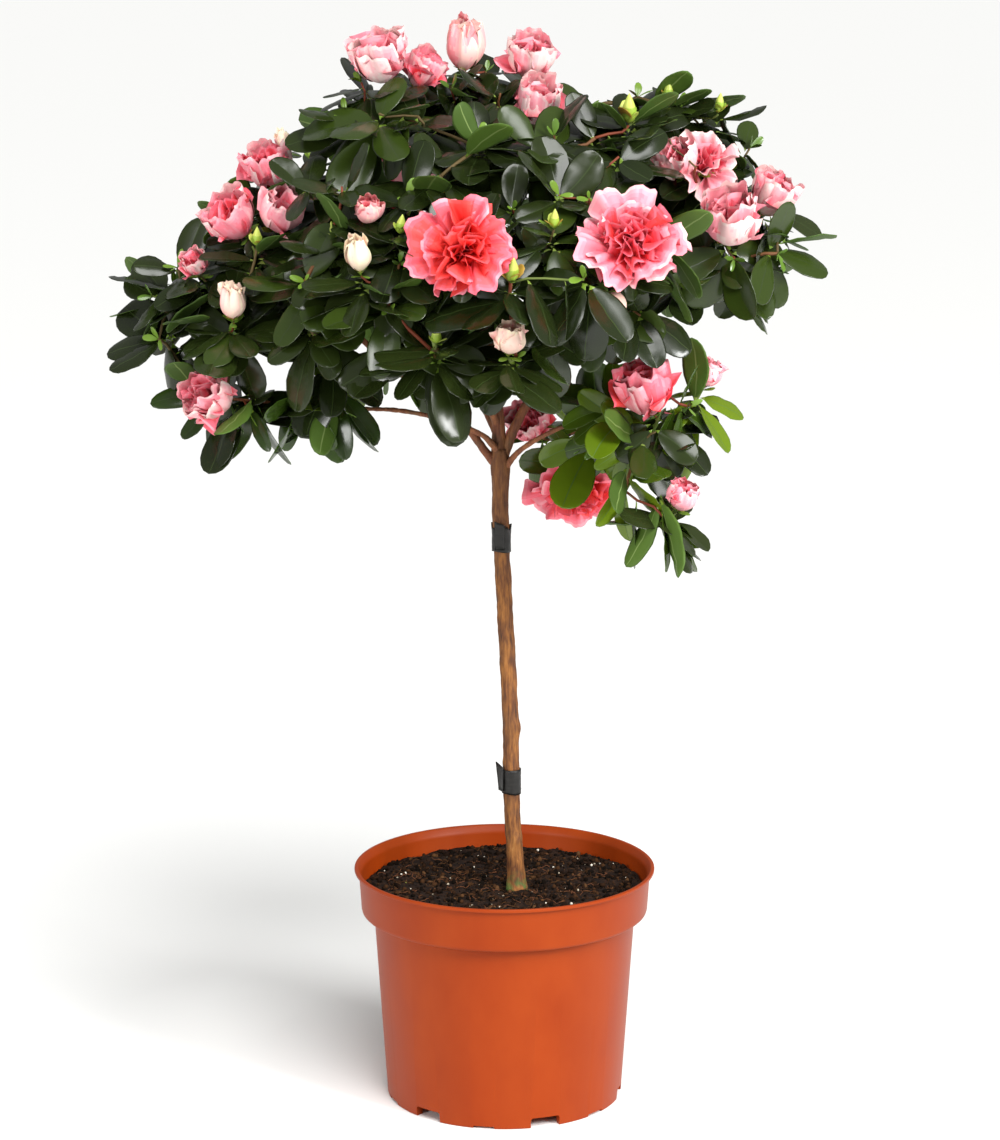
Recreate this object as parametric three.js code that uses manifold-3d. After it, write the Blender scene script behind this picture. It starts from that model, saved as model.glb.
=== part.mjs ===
// A potted azalea shrub, grown as a small crown on one short bare stem.
// Millimetres, +Z up. The origin is the centre of the pot's flat underside, the front is -Y.
//
// The pot, its compost, the stem, the boughs, the two stem ties and the masses of foliage are
// separate solids. Each mass of foliage is one uneven closed solid. Neighbours are trimmed so
// that a small gap stays between them.

import * as THREE from 'three';
import { mergeVertices } from 'three/addons/utils/BufferGeometryUtils.js';
import Module from 'manifold-3d';

const manifold = await Module();
manifold.setup();

// ---------------------------------------------------------------- driving dimensions

const GAP = 0.3; // clear space between neighbouring solids

const POT_HEIGHT = 133;
const POT_LIP_RADIUS = 85;
const LIP_INNER_RADIUS = 83;
const POT_WALL = 1.8;
const POT_SIDES = 32;
const BAND_TOP_RADIUS = 82.5; // the plain band below the lip
const BAND_FOOT_RADIUS = 80.9;
const BAND_FOOT_HEIGHT = 107.2;
const BODY_TOP_RADIUS = 74; // the body steps in under the band
const BODY_FOOT_RADIUS = 66.8;
const BAND_CORNER = 1.5; // the band's lower edge is cut back by this much
const LIP_DEPTH = 2;
const LIP_CORNER = 0.4;
const FOOT_CORNER = 0.8;

const DISC_RADIUS = 38; // the central disc that the pot stands on
const CHANNEL_HEIGHT = 6.5; // drain channel between the disc and the foot ring
const CHANNEL_OUTER_RADIUS = 62.5;
const CHANNEL_DRAFT = 1.5;
const DRAIN_HOLE_RADIUS = 4;
const DRAIN_HOLE_RING = 50;
const DRAIN_HOLE_SIDES = 8;
const NOTCH_COUNT = 6;
const NOTCH_TURN = -70; // degrees from +X to the first drain notch
const NOTCH = { width: 17, height: 6, corner: 1.5 };
const SHALLOW_NOTCH = { width: 12, height: 1.5, corner: 0.6 };
const NOTCH_OVERRUN = 3; // how far a notch's cut runs past the pot's foot, outwards and downwards

const SOIL_CROWN_HEIGHT = 122; // flat middle of the compost, where the stem stands
const SOIL_CROWN_RADIUS = 26;
const SOIL_EDGE_HEIGHT = 121.2;

const STEM_FOOT_RADIUS = 4.7;
const STEM_TOP_RADIUS = 4.5;
const STEM_FLARE = 1.5; // extra radius where the stem meets the compost
const STEM_FLARE_HEIGHT = 7;
const STEM_SIDES = 10;
const STEM_STEPS = 20;
const BOUGH_SIDES = 7;
const BOUGH_STEPS = 7;
const FORK_HEIGHT = 373;
const STEM_CURVE_SAMPLES = 240; // how finely the centre line is searched for a height

const TIE_WALL = 1.1;
const TIE_HEIGHT = 14;
const TIE_SPREAD = 0.5;
const TIE_SIDES = 14;
const LOWER_TIE_HEIGHT = 177; // lower edge of each tie
const UPPER_TIE_HEIGHT = 315;

const LEAF_CLUMP_WAVES = 7; // how many waves roughen the surface of a mass
const LEAF_CLUMP_RELIEF = 0.058; // each wave's height, as a share of the mass's reach
const LEAF_CLUMP_PITCH = { least: 3, spread: 6 }; // how closely a wave's crests follow each other
const FIRST_CLUMP_SEED = 11;
const CLUMP_SEED_STEP = 7;

const COLOURS = {
  pot: 0xc2512a,
  soil: 0x2a1d15,
  bark: 0x8a5a2e,
  youngBark: 0x6b3a22,
  tape: 0x2b2c2f,
  foliage: [0x2c3b2b, 0x364a30, 0x26352a, 0x3f5a33],
};
const ROUGHNESS = { pot: 0.45, soil: 0.95, bark: 0.8, tape: 0.5, foliage: 0.6 };

// The stem's centre line, from below the compost up to the fork.
const STEM_PATH = [[7, -8, 112], [7, -8, 124], [4.5, -6, 166], [3, -4, 228], [-1.5, -1, 314], [-2.5, 0, 373]];

// Each bough: where its centre line runs, its radius at both ends, and the mass that it feeds.
const BOUGHS = [
  { name: 'leader', radii: [3.7, 1.8], feeds: 'top_mass',
    path: [[-2.5, 0, 373], [-4, 1, 394], [-9, 3, 430], [-18, 4, 480], [-26, -2, 550]] },
  { name: 'right_bough', radii: [2.6, 1.4], feeds: 'right_shoulder_mass',
    path: [[-1, 0, 370], [7, 1, 387], [18, 3, 405], [48, 4, 442], [84, 0, 474], [125, -8, 512]] },
  { name: 'left_bough', radii: [2, 1.2], feeds: 'left_shoulder_mass',
    path: [
      [-2, 0, 361], [-10, 0, 370], [-26, -2, 390], [-70, -12, 428], [-104, -18, 462], [-130, -22, 505],
    ] },
  { name: 'low_right_bough', radii: [1.4, 0.9], feeds: 'hanging_right_mass',
    path: [[0, -1, 362], [10, -8, 374], [30, -24, 388], [58, -42, 400], [84, -58, 412]] },
  { name: 'low_left_bough', radii: [1.5, 0.9], feeds: 'low_left_mass',
    path: [[-3, -1, 371], [-16, -12, 384], [-52, -30, 398], [-96, -46, 403], [-146, -60, 410]] },
  { name: 'front_left_bough', radii: [2, 1.2], feeds: 'front_left_mass',
    path: [[-4, 0, 386], [-10, -12, 402], [-24, -42, 432], [-54, -88, 480]] },
  { name: 'front_right_bough', radii: [2, 1.2], feeds: 'front_right_mass',
    path: [[-4, 0, 398], [4, -12, 414], [20, -38, 438], [48, -86, 480]] },
  { name: 'back_left_bough', radii: [2.1, 1.2], feeds: 'back_left_mass',
    path: [[-4, 1, 382], [-16, 14, 400], [-44, 42, 432], [-88, 84, 482]] },
  { name: 'back_right_bough', radii: [2.1, 1.2], feeds: 'back_right_mass',
    path: [[-5, 2, 404], [6, 16, 420], [34, 44, 442], [82, 80, 482]] },
  { name: 'back_bough', radii: [2, 1.2], feeds: 'back_mass',
    path: [[-6, 2, 414], [-6, 20, 430], [-6, 60, 452], [-4, 118, 484]] },
];

// Each mass of foliage: its middle, how far it reaches along X, Y and Z, and how finely it is faceted.
const MASSES = [
  { name: 'top_mass', middle: [-26, -4, 568], reach: [49, 54, 45], facets: 3 },
  { name: 'upper_left_mass', middle: [-80, -8, 550], reach: [42, 52, 38], facets: 2 },
  { name: 'upper_right_mass', middle: [58, 0, 543], reach: [48, 54, 32], facets: 2 },
  { name: 'upper_back_mass', middle: [-6, 86, 538], reach: [62, 50, 40], facets: 2 },
  { name: 'left_shoulder_mass', middle: [-126, -24, 510], reach: [40, 48, 36], facets: 2 },
  { name: 'left_arm_mass', middle: [-166, -22, 456], reach: [47, 50, 34], facets: 2 },
  { name: 'right_shoulder_mass', middle: [126, -10, 514], reach: [45, 48, 31], facets: 2 },
  { name: 'right_side_mass', middle: [112, -24, 474], reach: [44, 46, 26], facets: 2 },
  { name: 'front_left_mass', middle: [-62, -104, 488], reach: [60, 54, 46], facets: 3 },
  { name: 'front_right_mass', middle: [50, -98, 490], reach: [58, 54, 44], facets: 3 },
  { name: 'low_left_mass', middle: [-139, -58, 406], reach: [48, 38, 34], facets: 2 },
  { name: 'low_centre_mass', middle: [-12, -72, 422], reach: [54, 42, 26], facets: 2 },
  { name: 'hanging_right_mass', middle: [86, -62, 414], reach: [35, 34, 26], facets: 2 },
  { name: 'hanging_tip_mass', middle: [82, -86, 359], reach: [28, 25, 38], facets: 2 },
  { name: 'hanging_centre_mass', middle: [32, -8, 358], reach: [29, 30, 28], facets: 2 },
  { name: 'back_left_mass', middle: [-98, 86, 490], reach: [66, 62, 48], facets: 2 },
  { name: 'back_mass', middle: [-2, 130, 484], reach: [60, 52, 46], facets: 2 },
  { name: 'back_right_mass', middle: [92, 82, 488], reach: [62, 60, 46], facets: 2 },
  { name: 'low_back_mass', middle: [-30, 84, 420], reach: [62, 50, 26], facets: 2 },
];

// ---------------------------------------------------------------- solids and meshes

// A closed geometry as a solid that can be joined and cut.
function solidFrom(geometry) {
  geometry.deleteAttribute('normal');
  geometry.deleteAttribute('uv');
  const welded = mergeVertices(geometry, 1e-4);
  return new manifold.Manifold(new manifold.Mesh({
    numProp: 3,
    vertProperties: Float32Array.from(welded.getAttribute('position').array),
    triVerts: Uint32Array.from(welded.index.array),
  }));
}

// A named mesh of a solid.
function meshFrom(name, solid, colour, roughness) {
  const shape = solid.getMesh();
  const geometry = new THREE.BufferGeometry();
  geometry.setAttribute('position', new THREE.BufferAttribute(Float32Array.from(shape.vertProperties), 3));
  geometry.setIndex(Array.from(shape.triVerts));
  geometry.computeVertexNormals();
  const material = new THREE.MeshStandardMaterial({ color: colour, roughness, metalness: 0 });
  const mesh = new THREE.Mesh(geometry, material);
  mesh.name = name;
  return mesh;
}

// A solid turned about the Z axis from a closed outline of [radius, height] points.
function turned(outline, sides) {
  const points = outline.map(([radius, height]) => new THREE.Vector2(radius, height));
  return solidFrom(new THREE.LatheGeometry(points, sides).rotateX(Math.PI / 2));
}

// Repeatable numbers from 0 to 1.
function seededNumbers(seed) {
  let state = seed;
  return () => {
    state = (Math.imul(state, 1664525) + 1013904223) >>> 0;
    return state / 4294967296;
  };
}

// ---------------------------------------------------------------- pot

// A drain notch through the foot ring: a block with rounded upper corners, laid along +X.
function notchSolid({ width, height, corner }) {
  const half = width / 2;
  const outline = new THREE.Shape();
  outline.moveTo(-half, -NOTCH_OVERRUN);
  outline.lineTo(half, -NOTCH_OVERRUN);
  outline.lineTo(half, height - corner);
  outline.absarc(half - corner, height - corner, corner, 0, Math.PI / 2, false);
  outline.lineTo(-half + corner, height);
  outline.absarc(-half + corner, height - corner, corner, Math.PI / 2, Math.PI, false);
  outline.closePath();
  const reach = BODY_FOOT_RADIUS + NOTCH_OVERRUN;
  const start = (DISC_RADIUS + CHANNEL_OUTER_RADIUS) / 2;
  const options = { depth: reach - start, bevelEnabled: false, curveSegments: 2 };
  const block = new THREE.ExtrudeGeometry(outline, options);
  block.rotateX(Math.PI / 2).rotateZ(Math.PI / 2).translate(start, 0, 0);
  return solidFrom(block);
}

function drainHoleSolid() {
  const depth = 4 * POT_WALL;
  const bore = new THREE.CylinderGeometry(DRAIN_HOLE_RADIUS, DRAIN_HOLE_RADIUS, depth, DRAIN_HOLE_SIDES);
  bore.rotateX(Math.PI / 2).translate(DRAIN_HOLE_RING, 0, CHANNEL_HEIGHT + POT_WALL / 2);
  return solidFrom(bore);
}

// Inner radius of the body's wall at a height.
function bodyInnerRadius(height) {
  const share = height / BAND_FOOT_HEIGHT;
  return BODY_FOOT_RADIUS + (BODY_TOP_RADIUS - BODY_FOOT_RADIUS) * share - POT_WALL;
}

function potSolid() {
  const floor = CHANNEL_HEIGHT + POT_WALL;
  const step = BAND_FOOT_HEIGHT + POT_WALL;
  const outline = [
    [0, 0],
    [DISC_RADIUS, 0],
    [DISC_RADIUS + CHANNEL_DRAFT, CHANNEL_HEIGHT],
    [CHANNEL_OUTER_RADIUS - CHANNEL_DRAFT, CHANNEL_HEIGHT],
    [CHANNEL_OUTER_RADIUS, 0],
    [BODY_FOOT_RADIUS - FOOT_CORNER, 0],
    [BODY_FOOT_RADIUS, FOOT_CORNER],
    [BODY_TOP_RADIUS, BAND_FOOT_HEIGHT],
    [BAND_FOOT_RADIUS - BAND_CORNER, BAND_FOOT_HEIGHT],
    [BAND_FOOT_RADIUS, BAND_FOOT_HEIGHT + BAND_CORNER],
    [BAND_TOP_RADIUS, POT_HEIGHT - LIP_DEPTH],
    [POT_LIP_RADIUS - LIP_CORNER, POT_HEIGHT - LIP_DEPTH],
    [POT_LIP_RADIUS, POT_HEIGHT - LIP_DEPTH / 2],
    [POT_LIP_RADIUS - 2 * LIP_CORNER, POT_HEIGHT],
    [LIP_INNER_RADIUS, POT_HEIGHT],
    [BAND_TOP_RADIUS - POT_WALL, POT_HEIGHT - 2 * LIP_DEPTH],
    [BAND_FOOT_RADIUS - POT_WALL, step],
    [bodyInnerRadius(step), step],
    [bodyInnerRadius(floor), floor],
    [DISC_RADIUS - POT_WALL + CHANNEL_DRAFT, floor],
    [DISC_RADIUS - POT_WALL, POT_WALL],
    [0, POT_WALL],
  ];
  let pot = turned(outline, POT_SIDES);
  const turn = 360 / NOTCH_COUNT;
  for (let i = 0; i < NOTCH_COUNT; i += 1) {
    const angle = NOTCH_TURN + i * turn;
    pot = pot.subtract(notchSolid(NOTCH).rotate([0, 0, angle]));
    pot = pot.subtract(notchSolid(SHALLOW_NOTCH).rotate([0, 0, angle + turn / 2]));
    pot = pot.subtract(drainHoleSolid().rotate([0, 0, angle]));
  }
  return pot;
}

// The compost fills the pot up to a low mound that is flat round the stem.
function soilSolid() {
  const floor = CHANNEL_HEIGHT + POT_WALL + GAP;
  const step = BAND_FOOT_HEIGHT + POT_WALL + GAP;
  const edgeShare = (SOIL_EDGE_HEIGHT - step) / (POT_HEIGHT - LIP_DEPTH - step);
  const edgeRadius = BAND_FOOT_RADIUS + (BAND_TOP_RADIUS - BAND_FOOT_RADIUS) * edgeShare - POT_WALL - 2 * GAP;
  const outline = [
    [0, POT_WALL + GAP],
    [DISC_RADIUS - POT_WALL - 2 * GAP, POT_WALL + GAP],
    [DISC_RADIUS - POT_WALL + CHANNEL_DRAFT - 2 * GAP, floor],
    [bodyInnerRadius(floor) - 2 * GAP, floor],
    [bodyInnerRadius(step) - 2 * GAP, step],
    [BAND_FOOT_RADIUS - POT_WALL - 2 * GAP, step],
    [edgeRadius, SOIL_EDGE_HEIGHT],
    [SOIL_CROWN_RADIUS, SOIL_CROWN_HEIGHT],
    [0, SOIL_CROWN_HEIGHT],
  ];
  return turned(outline, POT_SIDES);
}

// ---------------------------------------------------------------- stem, boughs and ties

// A round limb bent along a smooth curve. radiusAt takes the share of its length, from 0 to 1.
function limbSolid(path, radiusAt, sides, steps) {
  const curve = new THREE.CatmullRomCurve3(path.map((point) => new THREE.Vector3(...point)));
  const frames = curve.computeFrenetFrames(steps);
  const bar = new THREE.CylinderGeometry(1, 1, 1, sides, steps);
  const place = bar.getAttribute('position');
  for (let i = 0; i < place.count; i += 1) {
    const step = Math.round((place.getY(i) + 0.5) * steps);
    const radius = radiusAt(step / steps);
    const point = curve.getPointAt(step / steps);
    point.addScaledVector(frames.normals[step], place.getX(i) * radius);
    point.addScaledVector(frames.binormals[step], -place.getZ(i) * radius);
    place.setXYZ(i, point.x, point.y, point.z);
  }
  return solidFrom(bar);
}

// The stem tapers gently and flares at its foot, which is cut off level just above the compost.
function stemSolid(extra) {
  const length = FORK_HEIGHT - STEM_PATH[0][2];
  const radiusAt = (share) => {
    const above = Math.max(0, share * length - (SOIL_CROWN_HEIGHT - STEM_PATH[0][2]));
    const flare = STEM_FLARE * Math.exp(-above / STEM_FLARE_HEIGHT);
    return STEM_FOOT_RADIUS + (STEM_TOP_RADIUS - STEM_FOOT_RADIUS) * share + flare + extra;
  };
  const block = 2 * SOIL_CROWN_RADIUS;
  const below = new THREE.BoxGeometry(block, block, block);
  below.translate(0, 0, SOIL_CROWN_HEIGHT + GAP - block / 2);
  return limbSolid(STEM_PATH, radiusAt, STEM_SIDES, STEM_STEPS).subtract(solidFrom(below));
}

function boughSolid({ path, radii }, extra) {
  const [start, end] = radii;
  return limbSolid(path, (share) => start + (end - start) * share + extra, BOUGH_SIDES, BOUGH_STEPS);
}

// The point of the stem's centre line at a height.
function stemCentre(height) {
  const curve = new THREE.CatmullRomCurve3(STEM_PATH.map((point) => new THREE.Vector3(...point)));
  const nearer = (best, point) => (Math.abs(point.z - height) < Math.abs(best.z - height) ? point : best);
  return curve.getPoints(STEM_CURVE_SAMPLES).reduce(nearer);
}

// A tape tie: a snug sleeve round the stem, a little wider at its upper edge.
function tieSolid(lowerEdge) {
  const radius = STEM_TOP_RADIUS + GAP + TIE_WALL;
  const middle = lowerEdge + TIE_HEIGHT / 2;
  const centre = stemCentre(middle);
  const sleeve = new THREE.CylinderGeometry(radius + TIE_SPREAD, radius, TIE_HEIGHT, TIE_SIDES);
  sleeve.rotateX(Math.PI / 2).translate(centre.x, centre.y, middle);
  return solidFrom(sleeve).subtract(stemSolid(GAP));
}

// ---------------------------------------------------------------- masses of foliage

// An uneven closed lump: a ball of small faces, pushed in and out by a few seeded waves.
function massSolid({ middle, reach, facets }, seed, extra) {
  const next = seededNumbers(seed);
  const waves = Array.from({ length: LEAF_CLUMP_WAVES }, () => ({
    along: new THREE.Vector3(next() - 0.5, next() - 0.5, next() - 0.5).normalize(),
    pitch: LEAF_CLUMP_PITCH.least + LEAF_CLUMP_PITCH.spread * next(),
    start: 2 * Math.PI * next(),
  }));
  const ball = new THREE.IcosahedronGeometry(1, facets);
  const place = ball.getAttribute('position');
  const direction = new THREE.Vector3();
  for (let i = 0; i < place.count; i += 1) {
    direction.fromBufferAttribute(place, i).normalize();
    const rise = (wave) => Math.cos(wave.pitch * direction.dot(wave.along) + wave.start);
    const push = waves.reduce((sum, wave) => sum + rise(wave), 0);
    const share = 1 + LEAF_CLUMP_RELIEF * push;
    place.setXYZ(
      i,
      middle[0] + direction.x * (reach[0] * share + extra),
      middle[1] + direction.y * (reach[1] * share + extra),
      middle[2] + direction.z * (reach[2] * share + extra),
    );
  }
  return solidFrom(ball);
}

// ---------------------------------------------------------------- assembly

const plant = new THREE.Group();
plant.add(meshFrom('pot', potSolid(), COLOURS.pot, ROUGHNESS.pot));
plant.add(meshFrom('soil', soilSolid(), COLOURS.soil, ROUGHNESS.soil));
plant.add(meshFrom('stem', stemSolid(0), COLOURS.bark, ROUGHNESS.bark));
plant.add(meshFrom('lower_tie', tieSolid(LOWER_TIE_HEIGHT), COLOURS.tape, ROUGHNESS.tape));
plant.add(meshFrom('upper_tie', tieSolid(UPPER_TIE_HEIGHT), COLOURS.tape, ROUGHNESS.tape));

const massShapes = MASSES.map((mass, index) => {
  const seed = FIRST_CLUMP_SEED + CLUMP_SEED_STEP * index;
  return { name: mass.name, exact: massSolid(mass, seed, 0), padded: massSolid(mass, seed, GAP) };
});

// A bough is trimmed by the stem and by the boughs before it, and ends where it meets its mass.
const boughShapes = [];
for (const bough of BOUGHS) {
  let exact = boughSolid(bough, 0).subtract(stemSolid(GAP));
  for (const earlier of boughShapes) {
    exact = exact.subtract(earlier.padded);
  }
  const fed = massShapes.find((mass) => mass.name === bough.feeds);
  exact = exact.subtract(fed.padded);
  boughShapes.push({ name: bough.name, feeds: bough.feeds, exact, padded: boughSolid(bough, GAP) });
  plant.add(meshFrom(bough.name, exact, COLOURS.youngBark, ROUGHNESS.bark));
}

// A mass is trimmed by the masses before it and by the boughs that pass it on their way.
massShapes.forEach((mass, index) => {
  let exact = mass.exact;
  for (const earlier of massShapes.slice(0, index)) {
    exact = exact.subtract(earlier.padded);
  }
  for (const bough of boughShapes) {
    if (bough.feeds !== mass.name) {
      exact = exact.subtract(bough.padded);
    }
  }
  plant.add(meshFrom(mass.name, exact, COLOURS.foliage[index % COLOURS.foliage.length], ROUGHNESS.foliage));
});

export default plant;
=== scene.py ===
"""The looks of a small azalea shrub in its nursery pot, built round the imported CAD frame.

Shapes are worked out in millimetres and written to meshes in metres. The pot stands on
z = 0, its front towards -Y.
"""

import math

import bmesh
import bpy
import numpy as np
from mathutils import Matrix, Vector, noise


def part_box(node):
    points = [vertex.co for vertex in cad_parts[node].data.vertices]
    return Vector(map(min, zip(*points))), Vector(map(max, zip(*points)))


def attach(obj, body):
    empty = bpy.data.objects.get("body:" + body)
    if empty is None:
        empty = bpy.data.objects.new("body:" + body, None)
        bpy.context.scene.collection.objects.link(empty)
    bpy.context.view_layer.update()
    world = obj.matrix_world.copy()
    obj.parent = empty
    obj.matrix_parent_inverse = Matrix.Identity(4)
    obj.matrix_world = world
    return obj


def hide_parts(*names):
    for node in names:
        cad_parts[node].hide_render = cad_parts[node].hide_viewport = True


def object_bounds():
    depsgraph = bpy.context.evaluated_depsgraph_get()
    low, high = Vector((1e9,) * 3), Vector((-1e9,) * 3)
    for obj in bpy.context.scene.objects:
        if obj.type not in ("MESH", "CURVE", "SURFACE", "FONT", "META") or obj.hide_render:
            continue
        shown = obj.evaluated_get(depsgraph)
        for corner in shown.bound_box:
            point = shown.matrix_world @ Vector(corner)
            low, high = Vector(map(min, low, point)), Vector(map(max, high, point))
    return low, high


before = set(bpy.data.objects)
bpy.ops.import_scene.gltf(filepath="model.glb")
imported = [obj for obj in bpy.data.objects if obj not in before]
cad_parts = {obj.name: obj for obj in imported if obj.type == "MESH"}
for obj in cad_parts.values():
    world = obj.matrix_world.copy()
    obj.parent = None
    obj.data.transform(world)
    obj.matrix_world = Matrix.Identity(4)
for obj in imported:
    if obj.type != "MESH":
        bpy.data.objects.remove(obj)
cad_low, cad_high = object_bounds()

MM = 0.001
GOLDEN_TURN = math.radians(137.5)
UP = np.array([0.0, 0.0, 1.0])

# ---------------------------------------------------------------- driving sizes

# Centre lines of the stem and the boughs, as the CAD has them, and the boughs' radii at both ends.
STEM_LINE = [(7, -8, 112), (7, -8, 124), (4.5, -6, 166), (3, -4, 228), (-1.5, -1, 314),
             (-2.5, 0, 373)]
STEM_FOOT_RADIUS = 4.7
STEM_TOP_RADIUS = 4.5
STEM_FLARE = 1.5
STEM_FLARE_HEIGHT = 7
BOUGHS = {
    "leader": (3.7, 1.6, [(-2.5, 0, 366), (-4, 1, 394), (-9, 3, 430), (-18, 4, 480),
                          (-26, -2, 550)]),
    "right_bough": (2.8, 1.2, [(-2, 0, 366), (7, 1, 387), (18, 3, 405), (48, 4, 442), (84, 0, 474),
                               (125, -8, 512)]),
    "left_bough": (2.3, 1.0, [(-2, 0, 361), (-10, 0, 370), (-26, -2, 390), (-70, -12, 428),
                              (-104, -18, 462), (-130, -22, 505)]),
    "low_right_bough": (1.5, 0.8, [(0, -1, 362), (10, -8, 374), (30, -24, 388), (58, -42, 400),
                                   (84, -58, 412)]),
    "low_left_bough": (1.5, 0.8, [(-3, -1, 371), (-16, -12, 384), (-52, -30, 398), (-96, -46, 403),
                                  (-146, -60, 410)]),
    "front_left_bough": (2.0, 1.0, [(-4, 0, 386), (-10, -12, 402), (-24, -42, 432),
                                    (-54, -88, 480)]),
    "front_right_bough": (2.0, 1.0, [(-4, 0, 398), (4, -12, 414), (20, -38, 438), (48, -86, 480)]),
    "back_left_bough": (2.1, 1.0, [(-4, 1, 382), (-16, 14, 400), (-44, 42, 432), (-88, 84, 482)]),
    "back_right_bough": (2.1, 1.0, [(-5, 2, 404), (6, 16, 420), (34, 44, 442), (82, 80, 482)]),
    "back_bough": (2.0, 1.0, [(-6, 2, 414), (-6, 20, 430), (-6, 60, 452), (-4, 118, 484)]),
}

# Blooms and buds with a place of their own: kind, where the flower sits, where it faces, how wide
# it is and how much deeper than usual its colour is.
BLOOMS = [
    ("open", (-21, -140, 498), (-0.14, -0.95, 0.18), 50, 0.18),
    ("open", (64, -118, 497), (0.06, -0.72, 0.66), 57, -0.06),
    ("half", (-139, -42, 496), (-0.45, -0.55, 0.75), 25, -0.08),
    ("half", (-124, -18, 518), (-0.25, -0.35, 0.90), 24, -0.10),
    ("furled", (-122, -42, 500), (0.30, -0.60, 0.70), 23, -0.22),
    ("half", (-149, -60, 408), (-0.50, -0.60, 0.35), 24, -0.16),
    ("half", (80, -58, 402), (-0.30, -0.38, 0.87), 29, 0.02),
    ("furled", (107, -46, 415), (0.30, -0.25, 0.90), 14, -0.20),
    ("furled", (92, -82, 355), (0.30, -0.40, 0.85), 15, -0.14),
    ("open", (41, 26, 350), (0.15, -0.55, -0.75), 57, 0.06),
    ("half", (18, 32, 376), (-0.30, -0.60, 0.50), 22, -0.10),
    ("opening", (106, -18, 527), (0.12, -0.66, 0.70), 38, -0.22),
    ("half", (96, -24, 526), (-0.35, -0.60, 0.75), 20, -0.24),
    ("half", (118, -46, 493), (0.02, -0.55, 0.85), 29, -0.20),
    ("half", (139, -24, 505), (0.40, -0.35, 0.85), 23, -0.22),
    ("half", (-62, -20, 576), (-0.25, -0.45, 0.85), 27, -0.25),
    ("half", (-48, -6, 572), (0.45, -0.35, 0.80), 20, -0.12),
    ("half", (13, 10, 576), (0.05, -0.45, 0.90), 22, -0.22),
    ("half", (16, -8, 553), (0.15, -0.50, 0.85), 24, -0.20),
    ("bud", (-22, 0, 580), (0.02, -0.25, 0.95), 20, 0.26),
    ("pale", (-72, -96, 509), (0.15, -0.50, 0.85), 11, 0.40),
    ("bud", (-74, -120, 486), (-0.10, -0.25, 0.95), 13, -0.10),
    ("bud", (-143, -72, 455), (0.00, -0.30, 0.94), 14, 0.06),
    ("pale", (2, -142, 447), (0.05, -0.40, 0.90), 13, 0.06),
    ("bud", (57, -116, 474), (-0.20, -0.60, -0.60), 12, 0.0),
    ("shoot", (66, -35, 554), (0.00, -0.30, 0.95), 14, 0.0),
    ("bud", (-119, -20, 540), (-0.05, -0.20, 0.95), 7, -0.10),
    ("half", (-163, -46, 476), (-0.20, -0.60, 0.70), 13, -0.20),
    ("shoot", (-131, -62, 492), (0.05, -0.30, 0.95), 9, 0.0),
    ("shoot", (-91, -90, 498), (0.10, -0.30, 0.95), 9, 0.0),
    ("shoot", (-54, -112, 504), (0.15, -0.30, 0.95), 9, 0.0),
    ("shoot", (-35, -132, 450), (0.00, -0.40, 0.92), 9, 0.0),
    ("shoot", (115, -12, 558), (0.10, -0.20, 0.95), 9, 0.0),
    ("shoot", (88, -4, 564), (0.05, -0.20, 0.95), 9, 0.0),
    ("shoot", (3, -146, 484), (0.10, -0.50, 0.85), 12, 0.0),
    ("shoot", (25, -122, 508), (0.05, -0.35, 0.92), 9, 0.0),
]

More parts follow.
